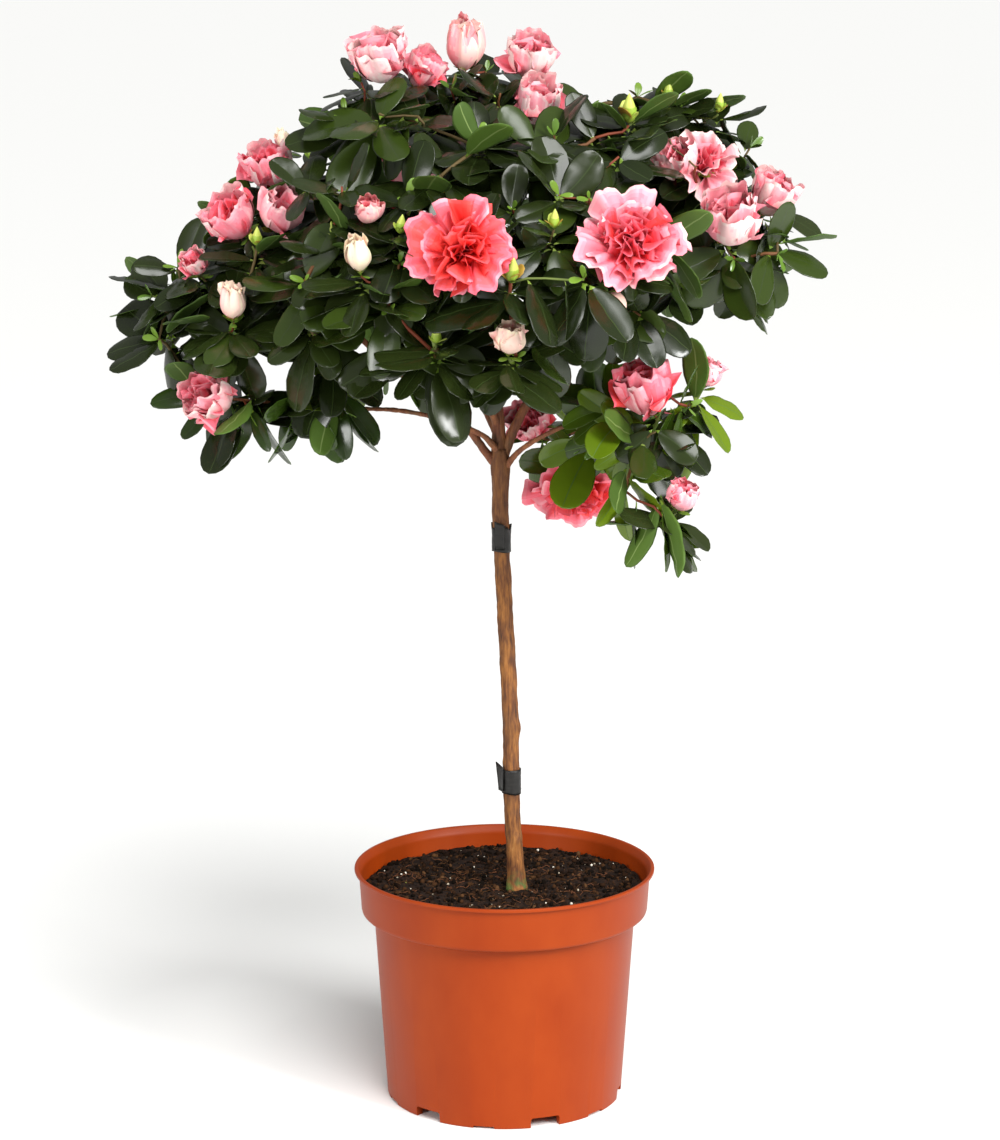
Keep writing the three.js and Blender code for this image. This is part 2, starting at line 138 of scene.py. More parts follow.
# Leafy tips with a place of their own: where the tip is, where it points and how long its leaves
# are. The deep ones make the crown, and the light and the hanging ones are below it. The light
# ones' paler greens are painted light, the glow of low leaves lit through from behind; the hanging
# ones take these greens on the right and darker ones, painted shade, on the left.
WHORLS = {
    "deep": [
        ((-190, -36, 462), (-0.70, -0.55, 0.20), 44), ((-176, -36, 478), (-0.45, -0.45, 0.65), 44),
        ((-146, -66, 446), (-0.30, -0.75, 0.45), 42), ((-186, -46, 440), (-0.50, -0.65, 0.15), 42),
        ((-101, -95, 452), (-0.15, -0.80, 0.35), 46), ((-92, -66, 430), (0.00, -0.80, 0.20), 44),
        ((-85, -34, 560), (-0.45, -0.45, 0.75), 40), ((-66, -60, 562), (0.00, -0.65, 0.70), 46),
        ((-77, -26, 576), (-0.50, -0.20, 0.80), 34), ((-29, -20, 572), (-0.30, -0.50, 0.75), 36),
        ((-2, -26, 570), (0.35, -0.50, 0.75), 38), ((-10, 0, 580), (0.30, -0.10, 0.95), 30),
        ((-33, -88, 532), (-0.05, -0.75, 0.65), 42), ((-13, -70, 548), (0.00, -0.70, 0.70), 40),
        ((18, -70, 546), (0.15, -0.70, 0.70), 40), ((60, -66, 540), (0.10, -0.70, 0.70), 42),
        ((-85, -84, 526), (-0.20, -0.75, 0.60), 42), ((-107, -62, 524), (-0.40, -0.60, 0.65), 40),
        ((28, -100, 523), (0.05, -0.80, 0.55), 42), ((26, -108, 488), (0.05, -0.90, 0.20), 40),
        ((-54, -118, 490), (-0.10, -0.85, 0.40), 42), ((46, 8, 560), (0.10, -0.20, 0.95), 34),
        ((68, -28, 556), (0.10, -0.60, 0.75), 38), ((72, 4, 566), (0.15, 0.00, 0.98), 32),
        ((134, 4, 538), (0.70, -0.10, 0.60), 36), ((122, -56, 484), (0.20, -0.75, -0.25), 46),
        ((146, -36, 499), (0.85, -0.45, -0.20), 42), ((71, -84, 458), (0.10, -0.80, 0.05), 44),
        ((44, -98, 462), (-0.05, -0.85, 0.10), 42), ((-38, -124, 446), (-0.05, -0.80, 0.35), 46),
        ((-60, -126, 468), (-0.20, -0.85, 0.35), 44), ((-57, -104, 446), (-0.10, -0.85, 0.20), 44),
        ((-20, -108, 446), (0.00, -0.75, 0.40), 40), ((6, -122, 442), (0.10, -0.75, 0.45), 38),
        ((24, -106, 450), (0.15, -0.80, 0.30), 38), ((80, -74, 394), (0.10, -0.70, -0.20), 38),
        ((88, -34, 546), (0.25, -0.55, 0.75), 40), ((102, -42, 532), (0.35, -0.70, 0.55), 40),
        ((48, -44, 548), (0.05, -0.60, 0.75), 40), ((26, -52, 550), (0.00, -0.60, 0.75), 40),
        ((-46, -52, 560), (-0.10, -0.60, 0.75), 40), ((110, 12, 552), (0.35, -0.10, 0.90), 36),
        ((94, -6, 560), (0.10, -0.40, 0.90), 34), ((146, -48, 486), (0.60, -0.60, -0.10), 40),
        ((-50, -92, 520), (-0.10, -0.80, 0.50), 40), ((4, -100, 516), (0.10, -0.80, 0.50), 38),
        ((44, -92, 520), (0.05, -0.80, 0.50), 40), ((-104, -98, 478), (-0.25, -0.80, 0.40), 42),
        ((152, -14, 506), (0.90, -0.10, 0.30), 34), ((60, 38, 545), (0.30, 0.30, 0.85), 38),
        ((16, 42, 552), (0.05, 0.40, 0.85), 38), ((-34, 44, 556), (-0.15, 0.40, 0.85), 38),
        ((-74, 40, 540), (-0.45, 0.30, 0.80), 38), ((104, 38, 520), (0.65, 0.25, 0.60), 40),
        ((122, 36, 490), (0.85, 0.25, 0.20), 42), ((92, 46, 470), (0.75, 0.35, -0.10), 40),
        ((-108, 38, 514), (-0.65, 0.25, 0.60), 40), ((-140, 34, 488), (-0.85, 0.20, 0.30), 42),
        ((-116, 46, 466), (-0.75, 0.35, 0.00), 40), ((44, 60, 500), (0.30, 0.20, 0.80), 38),
        ((-50, 60, 500), (-0.30, 0.20, 0.80), 38),
    ],
    "light": [
        ((57, -58, 404), (-0.10, -0.75, 0.10), 38), ((50, -26, 378), (-0.70, -0.60, -0.35), 48),
        ((44, -14, 374), (-0.25, -0.60, -0.60), 44), ((98, -60, 406), (0.60, -0.50, 0.10), 34),
        ((70, -66, 384), (-0.10, -0.65, -0.35), 40), ((-88, -52, 410), (0.15, -0.60, -0.20), 26),
    ],
    "hanging": [
        ((64, -76, 362), (-0.05, -0.35, -0.90), 40), ((84, -86, 350), (0.15, -0.30, -0.90), 48),
        ((-88, -60, 404), (0.10, -0.40, -0.80), 44), ((-109, -58, 402), (0.00, -0.45, -0.80), 48),
        ((-136, -66, 402), (-0.15, -0.45, -0.75), 46),
        ((-158, -50, 404), (-0.50, -0.50, -0.50), 42),
    ],
}

CROWN_SEED = 20
BLOOM_SEED = 300  # each flower draws its petals from this seed and its own number
SITE_SPACING = 30.0  # least distance between two leafy tips
SITE_DEPTH = (16.0, 26.0)  # how far a tip lies inside the surface of its mass
TRIES_PER_SITE = 7  # places that are tried for each one that there is room for
HIDDEN_TIPS_KEPT = 0.50  # share of the tips that lie between two masses
HANGING_TIPS_KEPT = 0.10  # share of the tips that would hang straight down
HANGING_BELOW = -0.55  # rise of a way from its mass below which a tip would hang
PROUD = 8.0  # how far a leaf may reach out of the CAD's box
OPEN_AIR = [  # lowest and highest corners of the spaces where no tip grows of itself
    ((-60, -140, 330), (60, 45, 438)),
    ((-128, -200, 330), (-40, 60, 436)),
    ((60, -200, 418), (160, 40, 462)),
]
TWIG_RADIUS = 0.6  # of a twig that ends in one tip
TWIG_SWELL = 0.42  # how fast a twig thickens with the tips that it carries


# ---------------------------------------------------------------- small helpers

def unit(vector):
    """The vector at length one."""
    vector = np.asarray(vector, float)
    return vector / max(np.linalg.norm(vector), 1e-9)


def smooth(value):
    """0 below 0, 1 above 1 and an even slope between."""
    value = np.clip(value, 0.0, 1.0)
    return value * value * (3.0 - 2.0 * value)


def colour(tone):
    """A colour written 0xRRGGBB as the shader's linear red, green, blue and alpha."""
    parts = [((tone >> shift) & 255) / 255 for shift in (16, 8, 0)]
    linear = [part / 12.92 if part <= 0.04045 else ((part + 0.055) / 1.055) ** 2.4
              for part in parts]
    return (*linear, 1.0)


def turns(count):
    """Even angles once round."""
    return np.arange(count) * (2 * math.pi / count)


def circle(radius, height, count):
    """Points of a level circle about the pot's axis."""
    return [(radius * math.cos(turn), radius * math.sin(turn), height) for turn in turns(count)]


def square_to(axis, hint):
    """The axis at length one and two ways square to it and to each other."""
    axis = unit(axis)
    side = unit(np.cross(axis, hint))
    return axis, side, np.cross(axis, side)


def swung(angle, first, second):
    """A way that has swung by an angle from the first to the second."""
    return math.cos(angle) * first + math.sin(angle) * second


def box_of(name):
    """The lowest and the highest corner of a CAD node, in millimetres."""
    return [np.array(corner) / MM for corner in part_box(name)]


def placed(name, data):
    """A new object in the scene."""
    made = bpy.data.objects.new(name, data)
    bpy.context.scene.collection.objects.link(made)
    return made


def curve_through(points, count):
    """Evenly spread points on a smooth curve through the given ones."""
    knots = np.asarray(points, float)
    ends = np.vstack([2 * knots[0] - knots[1], knots, 2 * knots[-1] - knots[-2]])
    fine = []
    for before, start, end, after in zip(ends, ends[1:], ends[2:], ends[3:]):
        for share in np.linspace(0, 1, 16, endpoint=False):
            fine.append(0.5 * (2 * start + (end - before) * share
                               + (2 * before - 5 * start + 4 * end - after) * share ** 2
                               + (3 * start - before - 3 * end + after) * share ** 3))
    fine = np.array(fine + [knots[-1]])
    run = np.concatenate([[0], np.cumsum(np.linalg.norm(np.diff(fine, axis=0), axis=1))])
    wanted = np.linspace(0, run[-1], count)
    return np.column_stack([np.interp(wanted, run, fine[:, axis]) for axis in range(3)])


def lumps(point, size, octaves=3):
    """Even noise of about -1 to 1 whose lumps are this many millimetres across."""
    return noise.fractal(Vector(point) / size, 1.0, 2.0, octaves)


def grid_faces(rows, columns, closed=False):
    """Corners of the faces of a grid of points; closed joins its last column to the first."""
    across = columns if closed else columns - 1
    first, second = np.meshgrid(np.arange(rows - 1), np.arange(across), indexing="ij")
    beside = (second + 1) % columns
    corners = [first * columns + second, first * columns + beside,
               (first + 1) * columns + beside, (first + 1) * columns + second]
    return np.stack(corners, -1).reshape(-1, 4)


def fan_faces(ring, pole):
    """Triangles from a row of points to one point."""
    return np.array([(a, b, pole, -1) for a, b in zip(ring, ring[1:])])


def capped_faces(rows, columns):
    """Faces of a closed wall of rings whose points are followed by its first and its last pole."""
    ring = list(range(columns)) + [0]
    last = [(rows - 1) * columns + index for index in ring]
    pole = rows * columns
    wall = grid_faces(rows, columns, closed=True)
    return np.vstack([wall, fan_faces(ring[::-1], pole), fan_faces(last, pole + 1)])


def laid(points, place, along, face, size=1.0):
    """A shape's points turned so that its Y runs along one way and its Z leans to another."""
    y = unit(along)
    z = np.asarray(face, float) - np.dot(face, y) * y
    z = unit(z)
    return np.asarray(place, float) + size * points @ np.array([np.cross(y, z), y, z])


# ---------------------------------------------------------------- finishes

class Wire:
    """A value on its way through a finish. Sums on it add Math nodes."""

    def __init__(self, finish, socket):
        self.finish = finish
        self.socket = socket

    def _sum(self, operation, *terms):
        return self.finish.add("ShaderNodeMath", {"operation": operation}, dict(enumerate(terms)))

    def __add__(self, other):
        return self._sum("ADD", self, other)

    def __sub__(self, other):
        return self._sum("SUBTRACT", self, other)

    def __rsub__(self, other):
        return self._sum("SUBTRACT", other, self)

    def __mul__(self, other):
        return self._sum("MULTIPLY", self, other)

    def __truediv__(self, other):
        return self._sum("DIVIDE", self, other)

    def clipped(self):
        return self.finish.add("ShaderNodeClamp", {}, {"Value": self})

    __radd__ = __add__
    __rmul__ = __mul__


class Finish:
    """A material in the making: one method adds every node."""

    def __init__(self, name, tone, **plain):
        self.material = bpy.data.materials.new(name)
        self.material.use_nodes = True
        self.material.diffuse_color = colour(tone)
        self.shader = self.material.node_tree.nodes["Principled BSDF"]
        self.give("Base Color", colour(tone))
        for socket, value in plain.items():
            self.give(socket.replace("_", " "), value)

    def give(self, socket, value):
        """Puts a value or a wire on one of the shader's sockets."""
        self._join(self.shader.inputs[socket], value)
        return self

    def _join(self, socket, value):
        if isinstance(value, Wire):
            self.material.node_tree.links.new(value.socket, socket)
        else:
            socket.default_value = value

    def add(self, kind, settings, sockets, out=0):
        """A node with its settings and its sockets' values or links; gives its output."""
        node = self.material.node_tree.nodes.new(kind)
        for setting, value in settings.items():
            if setting == "stops":
                ramp = node.color_ramp
                ends = zip([ramp.elements[0], ramp.elements[1]], [value[0], value[-1]])
                for element, (at, tone) in ends:
                    element.position, element.color = at, colour(tone)
                for at, tone in value[1:-1]:
                    ramp.elements.new(at).color = colour(tone)
            else:
                setattr(node, setting, value)
        for socket, value in sockets.items():
            self._join(node.inputs[socket], value)
        return Wire(self, node.outputs[out])

    def place(self, stretch=(1, 1, 1)):
        """The place on the object, in millimetres, squeezed along each axis."""
        where = self.add("ShaderNodeTexCoord", {}, {}, "Object")
        scale = [part / MM for part in stretch]
        return self.add("ShaderNodeMapping", {}, {"Vector": where, "Scale": scale})

    def height(self):
        """The height on the object, in millimetres."""
        return self.add("ShaderNodeSeparateXYZ", {}, {"Vector": self.place()}, "Z")

    def speckle(self, where, size, detail=4.0, rough=0.55):
        """Soft noise from 0 to 1 whose lumps are this many millimetres across."""
        sockets = {"Vector": where, "Scale": 1 / size, "Detail": detail, "Roughness": rough}
        return self.add("ShaderNodeTexNoise", {}, sockets, "Fac")

    def ramp(self, value, *stops):
        """Colours from a value."""
        return self.add("ShaderNodeValToRGB", {"stops": stops}, {"Fac": value})

    def blend(self, share, first, second):
        """One colour turning to another."""
        terms = {0: share, 6: first, 7: second}
        return self.add("ShaderNodeMix", {"data_type": "RGBA"}, terms, 2)

    def bump(self, value, depth, strength=1.0):
        """A relief of this many millimetres on the surface."""
        sockets = {"Height": value, "Distance": depth * MM, "Strength": strength}
        return self.give("Normal", self.add("ShaderNodeBump", {}, sockets, "Normal"))


FOOT_STAIN_TOP = 134  # height where the green bloom at the stem's foot ends
DARK_BARK_FROM = 300  # height from which the stem's bark grows darker


def bark_finish(name, tones, stains):
    """Fibrous bark: long dark and light strands, blotches, and a relief that follows them."""
    bark = Finish(name, tones[1][1], Roughness=0.75)
    strands = bark.speckle(bark.place((1, 1, 0.1)), 1.1, 6, 0.6)
    flakes = bark.speckle(bark.place((1, 1, 0.35)), 4.5, 4)
    shade = bark.ramp((strands * 0.65 + flakes * 0.5 - 0.08).clipped(), *tones)
    blotch = ((bark.speckle(bark.place(), 14, 3) - 0.52) * 5).clipped()
    shade = bark.blend(blotch * 0.55, shade, colour(stains["blotch"]))
    if "foot" in stains:
        patches = ((bark.speckle(bark.place(), 4, 3) - 0.4) * 5).clipped()
        low = ((FOOT_STAIN_TOP - bark.height()) / 12).clipped() * patches
        shade = bark.blend(low * 0.8, shade, colour(stains["foot"]))
        high = ((bark.height() - DARK_BARK_FROM) / 70).clipped()
        shade = bark.blend(high * 0.55, shade, colour(stains["top"]))
    bark.give("Base Color", shade)
    bark.give("Roughness", 0.62 + 0.3 * flakes)
    return bark.bump(strands + flakes * 0.6, 0.5, 0.8).material


def pot_finish():
    """Moulded plastic: even colour with a faint cloudiness and a satin surface."""
    plastic = Finish("terracotta_plastic", 0x903206, Specular_IOR_Level=0.16)
    cloud = plastic.speckle(plastic.place((1, 1, 0.6)), 30, 3)
    grain = plastic.speckle(plastic.place(), 0.5, 2)
    inner = plastic.ramp(cloud, (0.25, 0x8C3004), (0.75, 0x983A0A))
    plastic.give("Base Color", inner)
    plastic.give("Roughness", 0.34 + 0.12 * cloud + 0.04 * grain)
    return plastic.bump(grain, 0.03, 0.35).material


def compost_finish():
    """Damp peat: near black to reddish brown, rough all over."""
    peat = Finish("compost", 0x1D120B, Roughness=0.95, Specular_IOR_Level=0.2)
    clods = peat.speckle(peat.place(), 3.2, 6, 0.65)
    shade = peat.ramp(clods, (0.3, 0x0D0704), (0.5, 0x1F120A), (0.72, 0x3B2515))
    peat.give("Base Color", shade)
    peat.give("Roughness", 0.8 + 0.2 * clods)
    return peat.bump(peat.speckle(peat.place(), 1.0, 6, 0.7), 1.0, 0.8).material


def tape_finish():
    """Black stretch tape with fine creases across it."""
    tape = Finish("tie_tape", 0x1A1917, Specular_IOR_Level=0.35)
    creases = tape.speckle(tape.place((0.3, 0.3, 1)), 1.6, 4)
    tape.give("Base Color", tape.ramp(creases, (0.3, 0x100F0E), (0.8, 0x24221F)))
    tape.give("Roughness", 0.3 + 0.3 * creases)
    return tape.bump(creases, 0.15, 0.5).material


def floor_finish():
    """A matt pale floor."""
    floor = Finish("pale_floor", 0xF4F4F2, Roughness=0.9, Specular_IOR_Level=0.1)
    return floor.material


def plain_finishes(stem, tones, **plain):
    """Even finishes in several tones, which are dealt out spray by spray."""
    return [Finish(f"{stem}_{number}", tone, **plain).material
            for number, tone in enumerate(tones, 1)]


LEAF_TONES = {
    "deep": [0x1B230C, 0x212A0E, 0x273014, 0x1C250D, 0x2C3A11, 0x232D0F],
    # light: paler greens painted as light, the glow of low leaves lit through from behind; shaded:
    # darker greens painted as shade on the hanging leaves on the left
    "light": [0x50660E, 0x5A7012, 0x3C5010, 0x304410],
    "shaded": [0x2A3D10, 0x324813, 0x24350E],
    "fresh": [0x56742A, 0x68862E],
    "rib": [0x2E3A1C],
    "under": [0x3E561C, 0x486220],
    "under_rib": [0x708448],
    "stalk": [0x6E8A30, 0x7C9040],
}


def shades(keys, count):
    """Tones that lead evenly from one key tone to the next."""
    parts = np.array([[(tone >> shift) & 255 for shift in (16, 8, 0)] for tone in keys], float)
    at = np.linspace(0, len(keys) - 1, count)
    mixed = [np.interp(at, range(len(keys)), parts[:, part]) for part in range(3)]
    mixed = np.array(mixed).round().astype(int)
    return [int(red << 16 | green << 8 | blue) for red, green, blue in mixed.T]


PETAL_TONES = shades([0xF4D6D2, 0xF3B2B8, 0xF18C9B, 0xF1687A, 0xF2504F, 0xE83F38, 0xC42C28], 16)
BUD_TONES = shades([0xEEE6B8, 0xF2DFC2, 0xF2CDBE, 0xF0AAAB, 0xEA7682], 9)
SHOOT_TONES = [0xB9C65A, 0x93AE3C, 0x6F942E, 0xB08A3A]
TWIG_TONES = [0x6B4527, 0x5A4A2A, 0x7C3B26, 0x5D6A30]


# ---------------------------------------------------------------- pieces

def piece_from(mesh, slot, *nodes):
    """Shows a mesh as a piece of the plant, in place of CAD nodes."""
    piece = placed(mesh.name, mesh)
    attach(piece, "root")
    if nodes:
        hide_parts(*nodes)
    return piece


class Heap:
    """Many small bodies joined into one mesh, where each face keeps its own finish."""

    def __init__(self, finishes):
        self.finishes = finishes
        self.points = []
        self.faces = []
        self.paint = []
        self.count = 0

    def add(self, points, faces, paint):
        """Points in millimetres, faces of four corners, -1 last in a triangle, and their finish."""
        self.points.append(points)
        self.faces.append(np.where(faces >= 0, faces + self.count, -1))
        self.paint.append(np.broadcast_to(paint, len(faces)))
        self.count += len(points)

    def mesh(self, name):
        """All that was added, as one mesh in metres."""
        points = np.concatenate(self.points) * MM
        faces = np.concatenate(self.faces)
        held = faces >= 0
        corners = faces[held]
        starts = np.concatenate([[0], np.cumsum(held.sum(1))[:-1]])
        made = bpy.data.meshes.new(name)
        made.vertices.add(len(points))
        made.vertices.foreach_set("co", points.ravel())
        made.loops.add(len(corners))
        made.loops.foreach_set("vertex_index", corners)
        made.polygons.add(len(faces))
        made.polygons.foreach_set("loop_start", starts)
        for finish in self.finishes:
            made.materials.append(finish)
        made.polygons.foreach_set("material_index", np.concatenate(self.paint).astype(np.int32))
        made.polygons.foreach_set("use_smooth", np.ones(len(faces), bool))
        made.update(calc_edges=True)
        made.validate()
        return made


def tube(line, radii, sides, relief=None):
    """A closed round limb along a line of points. relief(point, turn, place) adds to the radius."""
    line = np.asarray(line, float)
    ways = np.gradient(line, axis=0)
    side = unit(np.cross(ways[0], (0.3, 1.0, 0.2)))
    points = []
    for place, (centre, way, radius) in enumerate(zip(line, ways, radii)):
        way = unit(way)
        side = unit(side - np.dot(side, way) * way)
        other = np.cross(way, side)
        for turn in turns(sides):
            out = swung(turn, side, other)
            extra = relief(centre + radius * out, turn, place) if relief else 0.0
            points.append(centre + (radius + extra) * out)
    points += [line[0], line[-1]]
    return np.array(points), capped_faces(len(line), sides)


# ---------------------------------------------------------------- leaves

LEAF_STATIONS = [0.04, 0.09, 0.17, 0.28, 0.41, 0.55, 0.68, 0.80, 0.90, 0.97]
SCALE_STATIONS = [0.04, 0.20, 0.45, 0.70, 0.92]
LEAF_TOP = [-1.0, -0.92, -0.50, -0.035, 0.035, 0.50, 0.92, 1.0]
LEAF_UNDER = [-0.80, -0.05, 0.05, 0.80]
STALK_SHARE = 0.07  # of the leaf's length, before the blade widens
STALK_HALF = 0.016
BLADE_THICKNESS = 0.013
RIB_DEPTH = 0.006
TOP, RIB, UNDER, UNDER_RIB, STALK = range(5)  # zones of a leaf


def leaf_shape(rng, breadth, stations=LEAF_STATIONS):
    """A leaf of length 1 with its stalk at the origin: points, faces and each face's zone."""
    widest = rng.uniform(0.215, 0.275) * breadth
    fullness = rng.uniform(0.55, 0.85)
    arch = rng.uniform(-0.04, 0.30)
    fold = rng.uniform(-0.10, 0.30)
    curl = rng.uniform(0.05, 0.30)
    wave = rng.uniform(0.004, 0.022)
    buckle = rng.uniform(0.004, 0.013)
    start = rng.uniform(0, 2 * math.pi)
    sway = rng.uniform(-0.05, 0.05)
    peak = (fullness / (fullness + 0.5)) ** fullness * (0.5 / (fullness + 0.5)) ** 0.5

    def place(u, v, below):
        t = max(0.0, (u - STALK_SHARE) / (1 - STALK_SHARE))
        half = max(STALK_HALF, widest * t ** fullness * (1 - t) ** 0.5 / peak)
        x = half * v + sway * math.sin(math.pi * u)
        z = -arch * u * u + half * (fold * abs(v) - curl * v * v)
        z += wave * v * v * math.sin(15 * u + start + 2 * v) * min(1.0, 4 * half)
        z += buckle * math.sin(21 * u - 5 * abs(v) + 2 * start) * (1 - v * v) * min(1.0, 6 * half)
        rib = RIB_DEPTH if abs(v) < 0.1 else 0.0
        return (x, u, z - (BLADE_THICKNESS + rib if below else rib))

    columns = len(LEAF_TOP)
    points = [place(u, v, False) for u in stations for v in LEAF_TOP]
    under_start = len(points)
    points += [place(u, v, True) for u in stations for v in LEAF_UNDER]
    foot, tip = len(points), len(points) + 1
    points += [place(0.0, 0.0, True), place(1.0, 0.0, False)]
    faces = grid_faces(len(stations), columns)
    zones = []
    for row in range(len(stations) - 1):
        for column in range(columns - 1):
            zones.append(STALK if row == 0 else RIB if column == 3 else TOP)

    def under_row(row):
        first = under_start + row * len(LEAF_UNDER)
        return [row * columns, first, first + 1, first + 2, first + 3, row * columns + columns - 1]

    below = []
    for row in range(len(stations) - 1):
        near, far = under_row(row), under_row(row + 1)
        for column in range(5):
            below.append((near[column], far[column], far[column + 1], near[column + 1]))
            zones.append(STALK if row == 0 else UNDER_RIB if column == 2 else UNDER)
    last = len(stations) - 1
    first_row = list(range(columns))
    last_row = [last * columns + column for column in first_row]
    caps = [(first_row[::-1], foot, STALK), (under_row(0), foot, STALK),
            (last_row, tip, TOP), (under_row(last)[::-1], tip, UNDER)]
    fans = []
    for ring, pole, zone in caps:
        fans.append(fan_faces(ring, pole))
        zones += [zone] * (len(ring) - 1)
    return np.array(points), np.vstack([faces, below] + fans), np.array(zones)


# How a rosette stands: the pitch of its youngest leaf from the twig and how much further its
# oldest leans out, in degrees, and how much the leaves droop.
HABITS = {"leafy": (56, 48, 0.14), "flowering": (80, 24, 0.14), "hanging": (20, 40, 0.30)}
HANGING_LEAVES = 5  # in one rosette that hangs
LIGHT_DROOP = 0.25  # how much more the light leaves droop
FLOWER_FOOT = 1.5  # height above a flower's foot where leaves start to keep out of it
LEAF_SIZES = (1.0, 0.8, 0.62)  # tried one after another where a leaf has little room

CROWN_PARTS = ("front_left", "front_right", "middle", "back")
FRONT_EDGE = -48  # y where the front part of the crown ends
BACK_EDGE = 42
FRONT_SPLIT = -20  # x where the front part is split


def part_of(place):
    """The part of the crown that a place lies in."""
    if place[1] < FRONT_EDGE:
        return "front_left" if place[0] < FRONT_SPLIT else "front_right"
    return "middle" if place[1] < BACK_EDGE else "back"


class Foliage:
    """The leaves, gathered in four parts of the crown."""

    def __init__(self, rng):
        self.finishes = []
        self.first = {}
        for kind, tones in LEAF_TONES.items():
            self.first[kind] = len(self.finishes)
            sheen = {"Roughness": 0.22, "Specular_IOR_Level": 0.42}
            if kind in ("under", "under_rib"):
                sheen = {"Roughness": 0.6, "Specular_IOR_Level": 0.3}
            self.finishes += plain_finishes(f"leaf_{kind}", tones, **sheen)
        self.heaps = {part: Heap(self.finishes) for part in CROWN_PARTS}
        self.shapes = [leaf_shape(rng, 1.1) for _ in range(18)]
        self.slim_shapes = [leaf_shape(rng, 0.78) for _ in range(8)]
        self.fresh_shapes = [leaf_shape(rng, 0.85, SCALE_STATIONS) for _ in range(6)]
        self.blooms = []
        self.low = np.array(cad_low) / MM - PROUD
        self.high = np.array(cad_high) / MM + PROUD

    def paint(self, rng, top_kind):
        """Finish numbers for the five zones of the leaves of one spray."""
        pick = {kind: self.first[kind] + int(rng.integers(len(tones)))
                for kind, tones in LEAF_TONES.items()}
        if top_kind == "fresh":
            return np.array([pick[kind] for kind in ("fresh", "fresh", "light", "fresh", "fresh")])
        rib = pick["under"] if top_kind == "light" else pick["rib"]
        return np.array([pick[top_kind], rib, pick["under"], pick["under_rib"], pick["stalk"]])

    def fits(self, spots):
        """Whether a leaf stays inside the crown's outline and runs through no flower."""
        if (spots < self.low).any() or (spots > self.high).any():
            return False
        for place, axis, radius, depth in self.blooms:
            gaps = spots - place
            rise = gaps @ axis
            beside = (gaps ** 2).sum(1) - rise ** 2 < radius ** 2
            inside = (rise > FLOWER_FOOT) & (rise < depth) & beside
            if inside.any():
                return False
        return True

    def leaf(self, rng, place, along, face, length, paint, shapes=None):
        """Adds one leaf, a little smaller or not at all where it has no room."""
        shapes = shapes or self.shapes
        points, faces, zones = shapes[int(rng.integers(len(shapes)))]
        for share in LEAF_SIZES:
            spots = laid(points, place, along, face, share * length)
            if self.fits(spots):
                self.heaps[part_of(place)].add(spots, faces, paint[zones])
                return

    def tuft(self, rng, tip, axis, length, count, pitch):
        """Fresh small leaves in the middle of a rosette."""
        axis, side, other = square_to(axis, (0.52, 0.11, 0.37))
        paint = self.paint(rng, "fresh")
        turn = rng.uniform(0, 2 * math.pi)
        for _ in range(count):
            turn += GOLDEN_TURN
            tilt = math.radians(rng.normal(pitch, 9))
            along = swung(tilt, axis, swung(turn, side, other))
            size = length * rng.uniform(0.7, 1.2)
            self.leaf(rng, tip, along, axis, size, paint, self.fresh_shapes)

    def whorl(self, rng, tip, axis, length, count, habit, tone):
        """A rosette of leaves round the end of a twig, the youngest inside and steepest."""
        steep, spread, droop = HABITS[habit]
        if tone == "light":
            droop += LIGHT_DROOP
        # Hanging leaves on the right take the light greens as painted light, those on the left the
        # shaded greens as painted shade.
        if habit == "hanging":
            tone, count = "shaded" if tip[0] < 0 else "light", HANGING_LEAVES
        axis, side, other = square_to(axis, (0.31, 0.52, 0.23))
        paint = self.paint(rng, tone)
        turn = rng.uniform(0, 2 * math.pi)
        for number in range(count):
            age = 1 - number / max(1, count - 1)
            turn += GOLDEN_TURN + rng.normal(0, 0.30)
            pitch = math.radians(steep + spread * age ** 0.8 + rng.normal(0, 12))
            out = swung(turn, side, other)
            along = swung(pitch, axis, out) - droop * UP
            face = 0.6 * axis + 0.4 * UP + rng.normal(0, 0.24, 3)
            size = length * (0.70 + 0.30 * age) * rng.uniform(0.78, 1.14)
            base = tip - axis * (1.0 + 9.0 * age) + 0.6 * out
            slim = habit == "hanging" or (tone == "light" and rng.uniform() < 0.5)
            self.leaf(rng, base, along, face, size, paint, self.slim_shapes if slim else None)

    def pieces(self, nodes):
        """Shows the heaps, each in place of the masses whose middle lies in it."""
        for part, heap in self.heaps.items():
            piece_from(heap.mesh(f"leaves_{part}"), "foliage", *nodes[part])


# ---------------------------------------------------------------- blossom

def frilled(rng, v, size):
    """Small teeth and waves along a petal's margin."""
    starts = rng.uniform(0, 2 * math.pi, 3)
    return size * (np.sin(6 * v + starts[0]) + 0.7 * np.sin(14 * v + starts[1])
                   + 0.6 * np.sin(24 * v + starts[2]))


def warmth_of(rng, u, v, heat, rim):
    """How deep the colour is on each face of a petal: pale at the margin, warm at the heart."""
    middle_u = (u[:-1, :-1] + u[1:, 1:]) / 2
    middle_v = (v[:-1, :-1] + v[1:, 1:]) / 2
    starts = rng.uniform(0, 2 * math.pi, 4)
    patch = 0.06 * np.sin(4 * middle_v + starts[0]) * np.sin(5 * middle_u + starts[1])
    streak = 0.03 * np.sin(15 * middle_v + starts[2])
    sides = smooth((np.abs(middle_v) - 0.80) / 0.2) * smooth(middle_u / 0.5)
    uneven = 0.7 + 0.3 * np.sin(5 * middle_v + starts[3])
    margin = np.maximum(smooth((middle_u - 0.84) / 0.16), sides) * uneven
    warmth = heat + 0.22 * (1 - middle_u) - rim * margin + patch + streak
    return (warmth + rng.normal(0, 0.012, warmth.shape)).reshape(-1)


